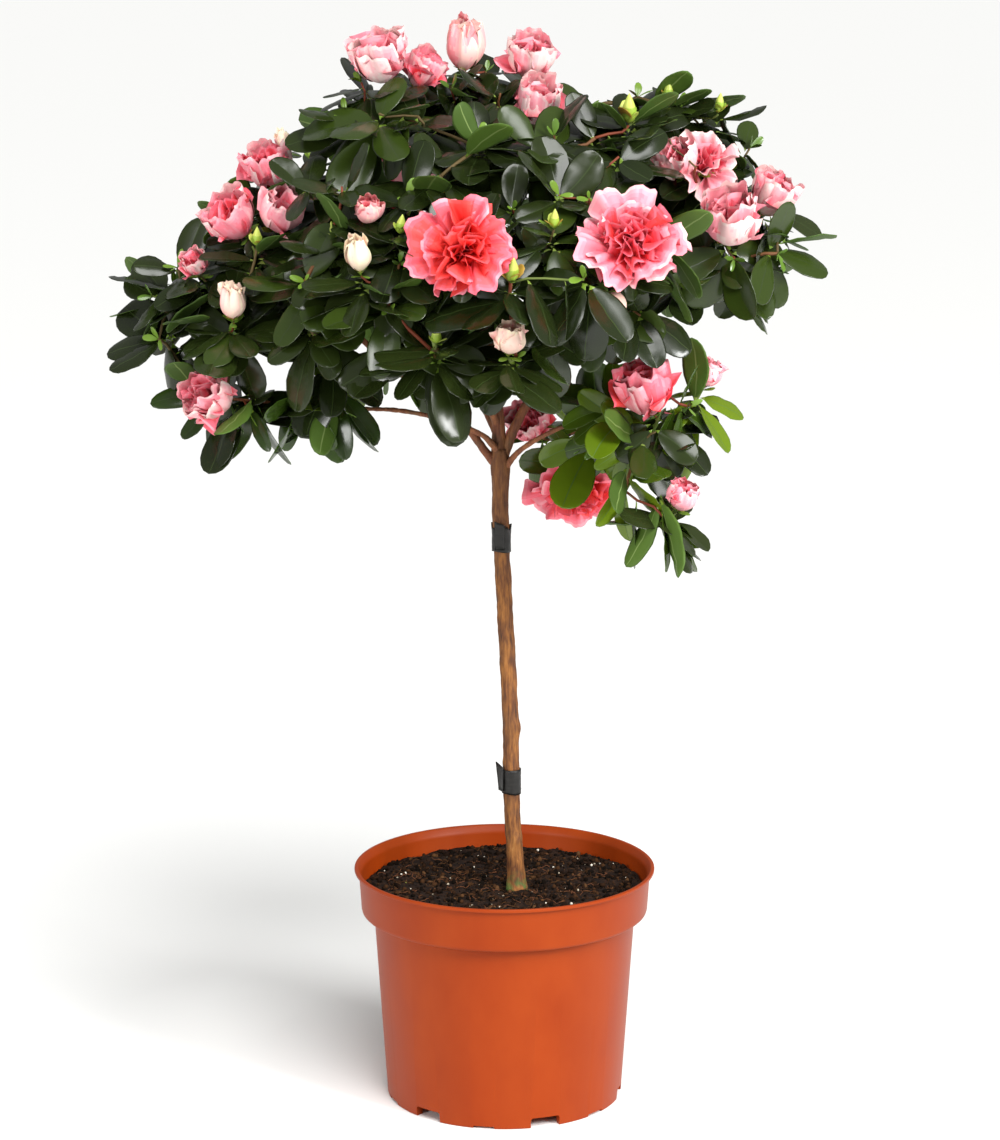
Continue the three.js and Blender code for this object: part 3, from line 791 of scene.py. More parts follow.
def petal_shape(rng, fan, cup, ruffle, crease, heat, rim, rows=14, columns=26):
    """One spreading petal of length 1 from its claw at the origin: points, faces, depth of colour.

    fan is its half angle, cup how far it bends up, ruffle the waves of its margin, crease its
    folds along its length, heat its colour from 0 to 1 and rim how pale its margin is.
    """
    waves = rng.uniform(1.6, 2.6)
    starts = rng.uniform(0, 2 * math.pi, 4)
    lean = rng.uniform(-0.16, 0.16)
    notch = rng.uniform(0.02, 0.13)
    u, v = np.meshgrid(np.linspace(0, 1, rows) ** 0.9, np.linspace(-1, 1, columns), indexing="ij")
    angle = (0.10 + fan * smooth(u / 0.55)) * v
    reach = u * (1 - 0.20 * v ** 4 * u - notch * u ** 4 * np.exp(-(v / 0.22) ** 2))
    reach = reach * (1 + frilled(rng, v, 0.033) * u ** 3)
    x = reach * np.sin(angle) + lean * u * u
    y = reach * np.cos(angle) * (1 - 0.3 * abs(cup) * u)
    edge = u ** 1.6 * (0.35 + 0.65 * np.abs(v))
    z = cup * u ** 2 + 0.10 * x * x - 0.12 * u ** 5
    wavy = np.sin(waves * math.pi * v + starts[2]) + 0.55 * np.sin(4.6 * math.pi * v + starts[3])
    z = z + ruffle * edge * wavy
    z = z + crease * u * np.cos(2.4 * math.pi * v + starts[0])
    points = np.stack([x, y, z], -1).reshape(-1, 3)
    return points, grid_faces(rows, columns), warmth_of(rng, u, v, heat, rim)


def cup_shape(rng, span, girth, closing, heat, rim, rows=12, columns=20):
    """One petal of a flower that is still a cup: part of its wall, Y up the cup, Z out of it.

    span is its half angle round the cup, girth the cup's radius as a share of its height,
    closing how far the wall draws in again at the top: 1 meets over the middle.
    """
    starts = rng.uniform(0, 2 * math.pi, 3)
    u, v = np.meshgrid(np.linspace(0, 1, rows) ** 0.85, np.linspace(-1, 1, columns), indexing="ij")
    up = u * (1 - 0.15 * np.abs(v) ** 3) * (1 + frilled(rng, v, 0.024) * u ** 3)
    angle = span * (0.35 + 0.65 * smooth(u / 0.45)) * v
    flare = 0.22 * smooth((up - 0.72) / 0.28) * (1 - closing)
    wall = np.sin(math.pi * closing * np.clip(up, 0, 1) ** 0.8) + flare
    wall = girth * (0.12 * (1 - up) + wall) * (1 + 0.10 * v * smooth(u / 0.3))
    waves = 0.13 * np.sin(4 * v + starts[0]) + 0.10 * np.sin(9 * v + starts[1])
    wall = wall + girth * u ** 3 * waves
    wall = wall + 0.025 * u * np.sin(7 * v + starts[2])
    points = np.stack([wall * np.sin(angle), up, wall * np.cos(angle)], -1).reshape(-1, 3)
    pale_foot = 0.18 * (1 - up[:-1, :-1]).reshape(-1)
    return points, grid_faces(rows, columns), warmth_of(rng, u, v, heat, rim) - pale_foot


# Rings of a flower: petals, their length as a share of the width, pitch from the axis in degrees
# with its spread, shape, and how loosely they stand. A cup petal stands round the axis and has
# no pitch.
OPEN_RINGS = [
    (5, 0.55, (80, 9), "broad", 0.2),
    (4, 0.48, (60, 12), "broad", 0.4),
    (7, 0.42, (46, 14), "folded", 0.7),
    (13, 0.34, (26, 16), "folded", 1.0),
]
OPENING_RINGS = [
    (4, 0.62, (60, 10), "broad", 0.2),
    (3, 0.58, (36, 10), "wavy", 0.3),
    (6, 0.46, (20, 10), "folded", 0.7),
]
HALF_RINGS = [
    (3, 0.96, None, "cup", 0.0),
    (4, 1.04, None, "inner_cup", 0.0),
    (6, 0.96, (20, 9), "folded", 0.5),
    (5, 0.90, (8, 5), "folded", 0.8),
]
FURLED_RINGS = [
    (3, 1.00, None, "wrap", 0.0),
    (3, 1.06, None, "inner_wrap", 0.0),
    (5, 0.98, (9, 5), "folded", 0.4),
]
PALE_RINGS = [
    (3, 1.20, None, "wrap", 0.0),
    (3, 1.28, None, "inner_wrap", 0.0),
    (4, 1.20, (11, 6), "folded", 0.5),
]
BUD_RINGS = [
    (3, 1.34, None, "bud", 0.0),
    (3, 1.44, None, "inner_bud", 0.0),
    (5, 1.40, (5, 3), "core", 0.5),
]
# The rings of each kind of flower, whether it has the cream tones of a bud, and the space in
# front of it that leaves stay out of: radius and depth as shares of its width.
KINDS = {
    "open": (OPEN_RINGS, False, 0.50, 1.1),
    "opening": (OPENING_RINGS, False, 0.45, 1.0),
    "half": (HALF_RINGS, False, 0.42, 1.2),
    "furled": (FURLED_RINGS, False, 0.42, 1.2),
    "pale": (PALE_RINGS, True, 0.45, 1.5),
    "bud": (BUD_RINGS, True, 0.45, 1.5),
}
# The scales under a flower: their length as a share of its width, and how far they spread in
# degrees.
OPEN_SCALES, BUD_SCALES, OTHER_SCALES = (0.16, 70), (0.42, 40), (0.24, 52)
SCALES = {"open": OPEN_SCALES, "bud": BUD_SCALES}
FRONT_BLOSSOM = -15  # y where the front half of the blossom ends


# The kinds of petal: how many shapes of each there are, and what the shape's function is told.
# A pair stands for an even draw between its two values.
PETALS = {
    "broad": (10, petal_shape, (0.70, 0.05, 0.16, 0.03, 0.38, 0.26)),
    "wavy": (8, petal_shape, (0.66, 0.16, 0.13, 0.05, 0.40, 0.24)),
    "folded": (14, petal_shape, (0.60, 0.14, 0.17, 0.19, 0.56, 0.20, 11, 20)),
    "cup": (8, cup_shape, (1.05, 0.50, (0.60, 0.70), 0.26, 0.18)),
    "inner_cup": (8, cup_shape, (1.00, 0.42, (0.62, 0.72), 0.44, 0.22)),
    "wrap": (6, cup_shape, (1.25, 0.46, (0.72, 0.80), 0.36, 0.20)),
    "inner_wrap": (6, cup_shape, (1.20, 0.38, (0.74, 0.82), 0.50, 0.20)),
    "bud": (6, cup_shape, (1.20, 0.34, 0.84, 0.40, 0.25)),
    "inner_bud": (6, cup_shape, (1.25, 0.27, 0.86, 0.58, 0.20)),
    "core": (5, petal_shape, (0.16, 0.03, 0.07, 0.07, 0.45, 0.20, 9, 12)),
}


def petals_of(rng, kind):
    """The shapes of one kind of petal."""
    count, shape, terms = PETALS[kind]
    return [shape(rng, *[rng.uniform(*term) if isinstance(term, tuple) else term for term in terms])
            for _ in range(count)]


class Blossom:
    """Petals of the open and half-open flowers and of the fat buds, front and back."""

    def __init__(self, rng):
        satin = {"Specular_IOR_Level": 0.35}
        finishes = plain_finishes("petal", PETAL_TONES, Roughness=0.55, **satin)
        self.heaps = {side: Heap(finishes) for side in ("front", "back")}
        self.buds = Heap(plain_finishes("bud_petal", BUD_TONES, Roughness=0.5, **satin))
        self.shapes = {kind: petals_of(rng, kind) for kind in PETALS}

    def flower(self, rng, heap, place, axis, width, rings, shift):
        """Rings of petals round an axis, each turned a little from the last."""
        axis, side, other = square_to(axis, (0.41, 0.22, 0.53))
        tones = len(heap.finishes)
        turn = rng.uniform(0, 2 * math.pi)
        for count, reach, pitch, kind, loose in rings:
            turn += math.pi / count + rng.normal(0, 0.1)
            for number in range(count):
                angle = turn + (number + rng.normal(0, 0.14)) * 2 * math.pi / count
                out = swung(angle, side, other)
                shapes = self.shapes[kind]
                points, faces, warmth = shapes[int(rng.integers(len(shapes)))]
                if pitch:
                    tilt = math.radians(rng.normal(*pitch))
                    along = swung(tilt, axis, out)
                    face = axis + rng.normal(0, 0.12 + 0.5 * loose, 3)
                    size = width * reach * rng.uniform(0.80, 1.14)
                else:
                    along = axis + rng.normal(0, 0.05, 3)
                    face = out
                    size = width * reach * rng.uniform(0.92, 1.05)
                start = place + 0.8 * out + 0.05 * width * loose * rng.normal(0, 1, 3)
                spots = laid(points, start, along, face, size)
                depth = warmth + shift + rng.normal(0, 0.03)
                tone = np.clip(np.round(depth * (tones - 1)), 0, tones - 1)
                heap.add(spots, faces, tone.astype(int))

    def bloom(self, rng, kind, place, axis, width, warmth):
        """One flower or bud of a kind."""
        place = np.asarray(place, float)
        rings, cream, _radius, _depth = KINDS[kind]
        side = "front" if place[1] < FRONT_BLOSSOM else "back"
        heap = self.buds if cream else self.heaps[side]
        self.flower(rng, heap, place, axis, width, rings, warmth)

    def pieces(self):
        """Shows the petals. The masses that they stand in are replaced by the leaves."""
        for side, heap in self.heaps.items():
            piece_from(heap.mesh(f"blossom_{side}"), "blossom")
        piece_from(self.buds.mesh("bud_petals"), "blossom")


BUD_SIDES = 10
SCALE_PAINTS = [0, 1, 3]


class Shoots:
    """Green flower buds and the scales under the flowers."""

    def __init__(self, rng):
        sheen = {"Roughness": 0.42, "Specular_IOR_Level": 0.45}
        self.heap = Heap(plain_finishes("shoot", SHOOT_TONES, **sheen))
        self.scale_shapes = [leaf_shape(rng, 1.25, SCALE_STATIONS) for _ in range(4)]

    def bud(self, rng, place, axis, length):
        """A pointed green bud with ridges that wind up it."""
        axis = unit(axis)
        stations = np.linspace(0, 1, 8)
        girth = 0.27 * length * np.sin(math.pi * stations ** 0.75) ** 0.8
        girth = girth * (1 - 0.35 * stations) + 0.05
        line = np.asarray(place) + np.outer(stations * length, axis)
        turn = rng.uniform(0, 2 * math.pi)

        def ridges(_point, angle, station):
            return 0.07 * girth[station] * math.cos(5 * angle + turn + 2.5 * stations[station])

        points, faces = tube(line, girth, BUD_SIDES, ridges)
        rows = np.repeat(np.arange(len(stations) - 1), BUD_SIDES)
        wall = np.where(rows > 3, 0, 1)
        paint = np.concatenate([wall, np.full(BUD_SIDES, 2), np.full(BUD_SIDES, 0)])
        self.heap.add(points, faces, paint)

    def scales(self, rng, place, axis, size, count, spread):
        """Small scales that clasp the foot of a flower."""
        axis, side, other = square_to(axis, (0.2, 0.63, 0.41))
        turn = rng.uniform(0, 2 * math.pi)
        for number in range(count):
            turn += GOLDEN_TURN
            tilt = math.radians(spread + rng.normal(0, 6))
            along = swung(tilt, axis, swung(turn, side, other))
            points, faces, _zones = self.scale_shapes[number % len(self.scale_shapes)]
            tone = int(rng.choice(SCALE_PAINTS))
            spots = laid(points, place, along, axis, size * rng.uniform(0.8, 1.2))
            self.heap.add(spots, faces, tone)

    def piece(self):
        """Shows the green buds and scales as one piece."""
        piece_from(self.heap.mesh("green_buds"), "foliage")


# ---------------------------------------------------------------- branching

NEVER = 1e6  # cost of a point that nothing may grow on from
TWIG_STEP = 7  # length between two points of a twig
TWIG_SIDES = 6
THIN_TWIG = 0.9  # radius below which a twig is young
YOUNG_PAINTS, OLD_PAINTS = [2, 3, 1], [0, 0, 1, 2]


class Branching:
    """The twigs of the crown. Each point knows the point that it grew from."""

    def __init__(self):
        self.places = []
        self.parents = []
        self.free = []
        self.tips = []
        self.chains = []

    def grow(self, line, parent, free_from=0.0):
        """Adds a line of points that grows on from a point, and gives their numbers."""
        numbers = []
        for index, place in enumerate(line):
            self.places.append(np.asarray(place, float))
            self.parents.append(parent)
            self.free.append(index >= free_from * len(line))
            parent = len(self.places) - 1
            numbers.append(parent)
        return numbers

    def close(self, numbers):
        """Lets nothing grow on from the end of a twig that flowers."""
        for number in numbers[-3:]:
            self.free[number] = False

    def way(self, number):
        """Which way the twig runs at a point."""
        parent = self.parents[number]
        if parent < 0:
            return UP
        return unit(self.places[number] - self.places[parent])

    def nearest(self, tip):
        """The point that a new twig to this tip leaves from, and how far it is."""
        places = np.array(self.places)
        gaps = tip - places
        far = np.linalg.norm(gaps, axis=1)
        rise = gaps[:, 2] / np.maximum(far, 1e-6)
        cost = far * (1.25 - 0.25 * rise) + np.where(self.free, 0.0, NEVER)
        best = int(np.argmin(cost))
        return best, far[best]

    def twig(self, rng, tip, axis):
        """Grows a curved twig to a tip and notes it."""
        start, far = self.nearest(tip)
        base = self.places[start]
        leave = unit(0.55 * self.way(start) + 0.9 * unit(tip - base)) * far * 0.9
        arrive = unit(axis) * far * 0.8
        steps = max(3, int(far / TWIG_STEP))
        line = []
        for share in np.linspace(0, 1, steps + 1)[1:]:
            spot = ((2 * share ** 3 - 3 * share ** 2 + 1) * base
                    + (share ** 3 - 2 * share ** 2 + share) * leave
                    + (3 * share ** 2 - 2 * share ** 3) * tip
                    + (share ** 3 - share ** 2) * arrive)
            line.append(spot + rng.normal(0, 0.5, 3) * (1 - share))
        numbers = self.grow(line, start)
        self.chains.append([start] + numbers)
        self.tips.append(numbers[-1])
        return numbers

    def radii(self):
        """A radius for each point, from the number of tips that it carries."""
        carried = np.zeros(len(self.places))
        for tip in self.tips:
            number = tip
            while number >= 0:
                carried[number] += 1
                number = self.parents[number]
        return TWIG_RADIUS * np.maximum(carried, 1) ** TWIG_SWELL

    def piece(self, rng):
        """All twigs as one piece, green or red at the thin ends and brown where they are older."""
        heap = Heap(plain_finishes("twig", TWIG_TONES, Roughness=0.6, Specular_IOR_Level=0.3))
        radii = self.radii()
        for chain in self.chains:
            radius = radii[chain]
            radius[0] = radius[1]
            points, faces = tube([self.places[number] for number in chain], radius, TWIG_SIDES)
            paints = YOUNG_PAINTS if radius[0] < THIN_TWIG else OLD_PAINTS
            heap.add(points, faces, int(rng.choice(paints)))
        piece_from(heap.mesh("twigs"), "young_bark")


def mass_nodes():
    """The names of the CAD's masses of foliage."""
    return sorted(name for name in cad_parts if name.endswith("_mass"))


def crown_tips(rng, taken):
    """Leafy tips spread over the masses: where each is and where it points."""
    names = mass_nodes()
    boxes = {name: box_of(name) for name in names}
    middles = {name: (low + high) / 2 for name, (low, high) in boxes.items()}
    reaches = {name: (high - low) / 2 for name, (low, high) in boxes.items()}
    spots = [np.asarray(place, float) for place in taken]
    tips = []
    for name in names:
        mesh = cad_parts[name].data
        mesh.calc_loop_triangles()
        corners = np.array([[mesh.vertices[index].co for index in triangle.vertices]
                            for triangle in mesh.loop_triangles]) / MM
        crosses = np.cross(corners[:, 1] - corners[:, 0], corners[:, 2] - corners[:, 0])
        areas = np.linalg.norm(crosses, axis=1) / 2
        tries = int(areas.sum() / SITE_SPACING ** 2 * TRIES_PER_SITE)
        picks = rng.choice(len(areas), tries, p=areas / areas.sum())
        for pick in picks:
            first, second = rng.uniform(size=2) ** (0.5, 1.0)
            corner = corners[pick]
            spot = ((1 - first) * corner[0] + first * (1 - second) * corner[1]
                    + first * second * corner[2])
            outward = unit((spot - middles[name]) / reaches[name])
            beyond = spot + 10 * outward
            inner = any((((beyond - middles[mass]) / reaches[mass]) ** 2).sum() < 0.95
                        for mass in names if mass != name)
            axis = unit(0.75 * outward + 0.45 * UP + rng.normal(0, 0.14, 3))
            if inner and rng.uniform() > HIDDEN_TIPS_KEPT:
                continue
            if outward[2] < HANGING_BELOW and rng.uniform() > HANGING_TIPS_KEPT:
                continue
            place = spot - outward * rng.uniform(*SITE_DEPTH)
            if any((place > low).all() and (place < high).all() for low, high in OPEN_AIR):
                continue
            if spots and min(np.linalg.norm(np.array(spots) - place, axis=1)) < SITE_SPACING:
                continue
            spots.append(place)
            tips.append((place, axis))
    return tips


BARE_SHARE = 0.6  # of a bough, before the first twig leaves it
LONG_BOUGHS = ("low_left_bough", "left_bough", "right_bough")
LONG_BARE_SHARE = 0.45
GUESSED_FROM = 45  # y behind which the flowers have no places of their own
CROWN_TOP = 535
LOW_CROWN = 430  # height below which light leaves are mixed in
TUFTS_KEPT = 0.75  # share of the tips that have fresh leaves in their middle


def kind_of_tip(rng, place, axis):
    """What a tip of the crown ends in, and how wide that is."""
    chance = rng.uniform()
    behind = place[1] > GUESSED_FROM and place[2] < CROWN_TOP
    upward = axis[2] > 0.15
    if upward and behind and chance < 0.13:
        return "half", rng.uniform(32, 40)
    if upward and behind and chance < 0.17:
        return "open", rng.uniform(54, 62)
    if chance < 0.25:
        return "shoot", rng.uniform(7, 10)
    if behind and chance < 0.30:
        return "bud", rng.uniform(16, 22)
    return "leaves", 0


def grow_crown():
    """Twigs, leaves, flowers and buds, grown from the boughs out to every tip."""
    rng = np.random.default_rng(CROWN_SEED)
    foliage = Foliage(rng)
    blossom = Blossom(rng)
    shoots = Shoots(rng)
    branching = Branching()
    trunk = branching.grow(curve_through(STEM_LINE, 30), -1, 1.1)
    for name, (_start, _end, line) in BOUGHS.items():
        bare_share = LONG_BARE_SHARE if name in LONG_BOUGHS else BARE_SHARE
        branching.grow(curve_through(line, 26), trunk[-1], bare_share)

    tips, warmths, tones = [], {}, {}
    for kind, place, facing, width, warmth in BLOOMS:
        warmths[len(tips)] = warmth
        tips.append((np.array(place, float), unit(facing), rng.uniform(34, 42), kind, width))
    for tone, whorls in WHORLS.items():
        for place, facing, length in whorls:
            tones[len(tips)] = tone
            tips.append((np.array(place, float), unit(facing), length, "leaves", 0))
    named = len(tips)
    for place, axis in crown_tips(rng, [tip[0] for tip in tips]):
        kind, width = kind_of_tip(rng, place, axis)
        tips.append((place, axis, rng.uniform(32, 43), kind, width))

    for place, axis, _length, kind, width in tips:
        if kind in KINDS:
            foliage.blooms.append((place, axis, KINDS[kind][2] * width, KINDS[kind][3] * width))
    stem_top = np.array(STEM_LINE[-1], float)
    order = sorted(range(len(tips)), key=lambda number: np.linalg.norm(tips[number][0] - stem_top))
    for number in order:
        place, axis, length, kind, width = tips[number]
        flowering = kind in KINDS
        foot = place - unit(axis) * (3 if flowering else 1)
        line = branching.twig(rng, foot, axis)
        if flowering:
            branching.close(line)
        # Low tips take the light greens at random, painted light for the glow of leaves lit through
        # from behind.
        low = place[2] < LOW_CROWN
        tone = tones.get(number, "light" if low and rng.uniform() < 0.55 else "deep")
        count = int(rng.integers(6, 9)) if number >= named else int(rng.integers(7, 10))
        habit = "flowering" if flowering else "hanging" if tone == "hanging" else "leafy"
        foliage.whorl(rng, foot - 2 * unit(axis), axis, length, count, habit, tone)
        if rng.uniform() < TUFTS_KEPT:
            foliage.tuft(rng, foot, axis, rng.uniform(6, 11), 3, 72 if flowering else 34)
        # The older leaves of a hanging twig take the light greens, painted light for leaves lit
        # from behind.
        paint = foliage.paint(rng, "light" if tone == "hanging" else tone)
        for older in line[-3:-8:-2]:
            way = branching.way(older)
            out = unit(np.cross(way, rng.normal(0, 1, 3)))
            along = unit(out + 0.35 * way - 0.15 * UP)
            size = length * rng.uniform(0.7, 0.95)
            foliage.leaf(rng, branching.places[older], along, 0.5 * way + UP, size, paint)
        if flowering:
            petals = np.random.default_rng(BLOOM_SEED + number)
            warmth = warmths.get(number, petals.uniform(-0.2, 0.05))
            blossom.bloom(petals, kind, place, axis, width, warmth)
            share, spread = SCALES.get(kind, OTHER_SCALES)
            shoots.scales(rng, place - 1.5 * unit(axis), axis, share * width, 6, spread)
        elif kind == "shoot":
            shoots.bud(rng, place, axis, width * 1.25)
            shoots.scales(rng, place, axis, width * 0.8, 4, 30)
    nodes = {part: [] for part in foliage.heaps}
    for name in mass_nodes():
        low, high = box_of(name)
        nodes[part_of((low + high) / 2)].append(name)
    foliage.pieces(nodes)
    blossom.pieces()
    shoots.piece()
    branching.piece(rng)


# ---------------------------------------------------------------- bark

def bark_relief(strength):
    """Ridges and flakes that run along a limb."""
    def relief(point, _turn, _place):
        stretched = (point[0], point[1], point[2] * 0.09)
        flake = lumps((point[0], point[1], point[2] * 0.3), 3.5)
        return strength * (0.38 * lumps(stretched, 1.2) + 0.40 * flake)
    return relief


STEM_KNOTS = [  # place, height and size
    ((8, -6, 215), 1.3, 4.5), ((-1, -8, 262), 0.8, 3.5), ((7, -4, 286), 0.7, 3.0),
    ((9, -10, 150), 0.7, 3.5), ((1, 2, 240), 0.9, 4.0), ((-5, -3, 338), 0.9, 4.0),
]
STEM_BARK = [(0.29, 0x221006), (0.42, 0x5C3210), (0.60, 0x8E5A26), (0.86, 0xB98A50)]
STEM_STAINS = {"blotch": 0x5C3A1E, "foot": 0x2F6A2A, "top": 0x55301A}
BOUGH_BARK = [(0.22, 0x3B1D12), (0.45, 0x6E3C22), (0.68, 0x925C36), (0.88, 0xB3834F)]
BOUGH_STAINS = {"blotch": 0x5E5030}
BARK_START = 119  # height inside the compost where the stem's mesh starts
BARK_END = 392  # height up the leader where it ends


def stem_piece():
    """The stem with its fibrous bark, knots and flared foot."""
    leader = [point for point in curve_through(BOUGHS["leader"][2], 90) if point[2] < BARK_END]
    line = [point for point in curve_through(STEM_LINE, 300) if point[2] > BARK_START] + leader[1:]
    heights = np.array([point[2] for point in line])
    share = (heights - STEM_LINE[0][2]) / (STEM_LINE[-1][2] - STEM_LINE[0][2])
    above = np.maximum(0, heights - box_of("stem")[0][2])
    radii = STEM_FOOT_RADIUS + (STEM_TOP_RADIUS - STEM_FOOT_RADIUS) * share
    radii = radii + STEM_FLARE * np.exp(-above / STEM_FLARE_HEIGHT) - 0.15
    swell = 1.0 * np.exp(-((heights - 362) / 9) ** 2) - 1.2 * smooth((heights - 366) / 24)
    fine = bark_relief(1.0)

    def relief(point, turn, place):
        knots = sum(height * math.exp(-((point - np.array(spot)) ** 2).sum() / size ** 2)
                    for spot, height, size in STEM_KNOTS)
        return fine(point, turn, place) + knots

    points, faces = tube(line, radii + swell, 40, relief)
    heap = Heap([bark_finish("stem_bark", STEM_BARK, STEM_STAINS)])
    heap.add(points, faces, 0)
    piece_from(heap.mesh("stem_bark"), "bark", "stem")


def boughs_piece():
    """The boughs with thin reddish bark, swollen where they leave the stem."""
    heap = Heap([bark_finish("bough_bark", BOUGH_BARK, BOUGH_STAINS)])
    for start, end, line in BOUGHS.values():
        line = curve_through(line, 90)
        share = np.linspace(0, 1, len(line))
        radii = start + (end - start) * share + 0.9 * np.exp(-share * 22)
        points, faces = tube(line, radii, 16, bark_relief(0.55))
        heap.add(points, faces, 0)
    piece_from(heap.mesh("bough_bark"), "young_bark", *BOUGHS)


# ---------------------------------------------------------------- ties

SLEEVE_ROWS, SLEEVE_COLUMNS = 12, 64
SLEEVE_THICKNESS = 0.7
SLEEVE_MARGIN = 0.9  # room for creases within the CAD's sleeve
FLAP_ROWS, FLAP_COLUMNS = 7, 5
FLAP_THICKNESS = 0.35


def tie_sleeve(low, high, torn):
    """A creased sleeve between two corners: points and faces. torn is how uneven its top is."""
    rows, columns = SLEEVE_ROWS, SLEEVE_COLUMNS
    middle = (low + high) / 2
    radius = (high[0] - low[0]) / 2 - SLEEVE_MARGIN
    points = []
    for layer in (0.0, -SLEEVE_THICKNESS):
        for row in range(rows):
            share = row / (rows - 1)
            for column in range(columns):
                turn = 2 * math.pi * column / columns
                crease = lumps((6 * math.cos(turn), 6 * math.sin(turn), 40 * share + low[2]), 3.0)
                edge = torn * share ** 6 * (1.2 * math.sin(3 * turn) + 0.8 * math.sin(7 * turn + 1))
                out = radius + layer + 0.22 * crease + 0.5 * abs(share - 0.5) ** 3 + 0.35 * edge
                sag = 0.35 * math.sin(2 * turn) * (1 - share)
                height = low[2] + share * (high[2] - low[2]) + edge + sag
                x, y = out * math.cos(turn), out * math.sin(turn)
                points.append((middle[0] + x, middle[1] + y, height))
    count = rows * columns
    outer = grid_faces(rows, columns, closed=True)
    inner = outer[:, ::-1] + count
    top = (rows - 1) * columns
    rims = []
    for column in range(columns):
        beside = (column + 1) % columns
        rims.append((beside, column, count + column, count + beside))
        rims.append((top + column, top + beside, count + top + beside, count + top + column))
    return np.array(points), np.vstack([outer, inner, rims])


def tie_flap(rng, low, high, turn):
    """The free end of the tape, standing off the sleeve: points and faces."""
    rows, columns = FLAP_ROWS, FLAP_COLUMNS
    middle = (low + high) / 2
    radius = (high[0] - low[0]) / 2 - SLEEVE_MARGIN
    out = np.array([math.cos(turn), math.sin(turn), 0.0])
    across = np.array([-out[1], out[0], 0.0])
    points = []
    for layer in (0.0, FLAP_THICKNESS):
        for row in range(rows):
            share = row / (rows - 1)
            for column in range(columns):
                reach = column / (columns - 1)
                lift = 0.3 + 2.6 * reach ** 1.4 * (0.35 + 0.65 * share) + layer
                height = low[2] + 1.5 + share * (high[2] - low[2]) + 2.6 * reach * share
                spot = middle + out * (radius + lift) - across * (5.4 * reach - 3.0)
                spot = spot + rng.normal(0, 0.06, 3)
                points.append((spot[0], spot[1], height))
    count = rows * columns
    sheet = grid_faces(rows, columns)
    border = [row * columns for row in range(rows)]
    border += [count - columns + column for column in range(1, columns)]
    border += [row * columns + columns - 1 for row in range(rows - 2, -1, -1)]
    border += list(range(columns - 2, -1, -1))
    sides = [(a, b, b + count, a + count) for a, b in zip(border, border[1:])]
    return np.array(points), np.vstack([sheet[:, ::-1], sheet + count, sides])


def tie_piece(name, tape, flap_turn, torn):
    """A sleeve of stretched tape, creased, with the end of the tape standing off."""
    low, high = box_of(name)
    rng = np.random.default_rng(len(name) + SLEEVE_COLUMNS)
    heap = Heap([tape])
    heap.add(*tie_sleeve(low, high, torn), 0)
    heap.add(*tie_flap(rng, low, high, flap_turn), 0)
    piece_from(heap.mesh(f"{name}_tape"), "tape", name)


# ---------------------------------------------------------------- pot

POT_PROFILE = [  # radius, height and rounding of each corner of the pot's section
    (38, 0, 0.6), (39.5, 6.5, 1.0), (61, 6.5, 1.0), (62.5, 0, 0.5), (66.8, 0, 0.8),
    (74, 107.2, 0.8), (80.9, 107.2, 2.4), (82.5, 131, 0.5), (84.9, 131, 0.6), (85, 133, 0.9),
    (83, 133, 0.5), (80.7, 129, 1.2), (79.1, 109, 1.5), (72.3, 109, 1.5), (65.4, 8.3, 1.2),
    (37.7, 8.3, 1.0), (36.2, 1.8, 0.6),
]
POT_FLOOR = 1.8  # height of the floor's upper side in the middle
POT_TURNS = 144
NOTCHES = 6
FIRST_NOTCH = -70.0  # degrees
NOTCH_SIZE = (17, 6)  # width and height
SHALLOW_NOTCH_SIZE = (12, 1.5)
NOTCH_SPAN = (50.0, 70.0)  # distances from the axis between which a notch is cut
DRAIN_RING = 50.0  # distance of the drain holes from the axis
DRAIN_RADIUS = 4.0
DRAIN_HEIGHT = 7.4  # of the middle of the bar that cuts a hole
DRAIN_DEPTH = 8
SHARP_EDGE = 32  # degrees from which an edge of the pot shows


def rounded(corners, steps=4):
    """An open outline whose inner corners are rounded off by their own radii."""
    outline = []
    for index, (radius, height, rounding) in enumerate(corners):
        here = np.array([radius, height], float)
        inward = here - (rounding, 0)
        before = np.array(corners[index - 1][:2], float) if index else inward
        after = np.array(corners[index + 1][:2], float) if index + 1 < len(corners) else inward
        entry = here + unit(before - here) * rounding
        leave = here + unit(after - here) * rounding
        for share in np.linspace(0, 1, steps):
            outline.append((1 - share) ** 2 * entry + 2 * share * (1 - share) * here
                           + share ** 2 * leave)
    return outline


def notch_cutter(width, height, turn):
    """A block with rounded upper corners that cuts a drain notch."""
    corner = min(1.5, height * 0.4)
    outline = [(-width / 2, -2.0), (width / 2, -2.0)]
    for step in range(5):
        angle = math.pi / 8 * step
        outline.append((width / 2 - corner + corner * math.cos(angle),
                        height - corner + corner * math.sin(angle)))
    outline += [(-across, up) for across, up in reversed(outline[2:])]
    made = bmesh.new()
    rings = []
    for along in NOTCH_SPAN:
        ring = []
        for across, up in outline:
            x = along * math.cos(turn) - across * math.sin(turn)
            y = along * math.sin(turn) + across * math.cos(turn)
            ring.append(made.verts.new((x * MM, y * MM, up * MM)))
        rings.append(ring)
    count = len(outline)
    for index in range(count):
        beside = (index + 1) % count
        made.faces.new((rings[0][index], rings[0][beside], rings[1][beside], rings[1][index]))
    made.faces.new(rings[0][::-1])
    made.faces.new(rings[1])
    bmesh.ops.recalc_face_normals(made, faces=made.faces)
    return made


def drain_cutter(turn):
    """A short bar that cuts a drain hole through the floor."""
    made = bmesh.new()
    radius = DRAIN_RADIUS * MM
    bmesh.ops.create_cone(made, segments=24, radius1=radius, radius2=radius, depth=DRAIN_DEPTH * MM,
                          cap_ends=True)
    shift = Vector((DRAIN_RING * math.cos(turn), DRAIN_RING * math.sin(turn), DRAIN_HEIGHT)) * MM
    bmesh.ops.translate(made, verts=made.verts, vec=shift)
    return made


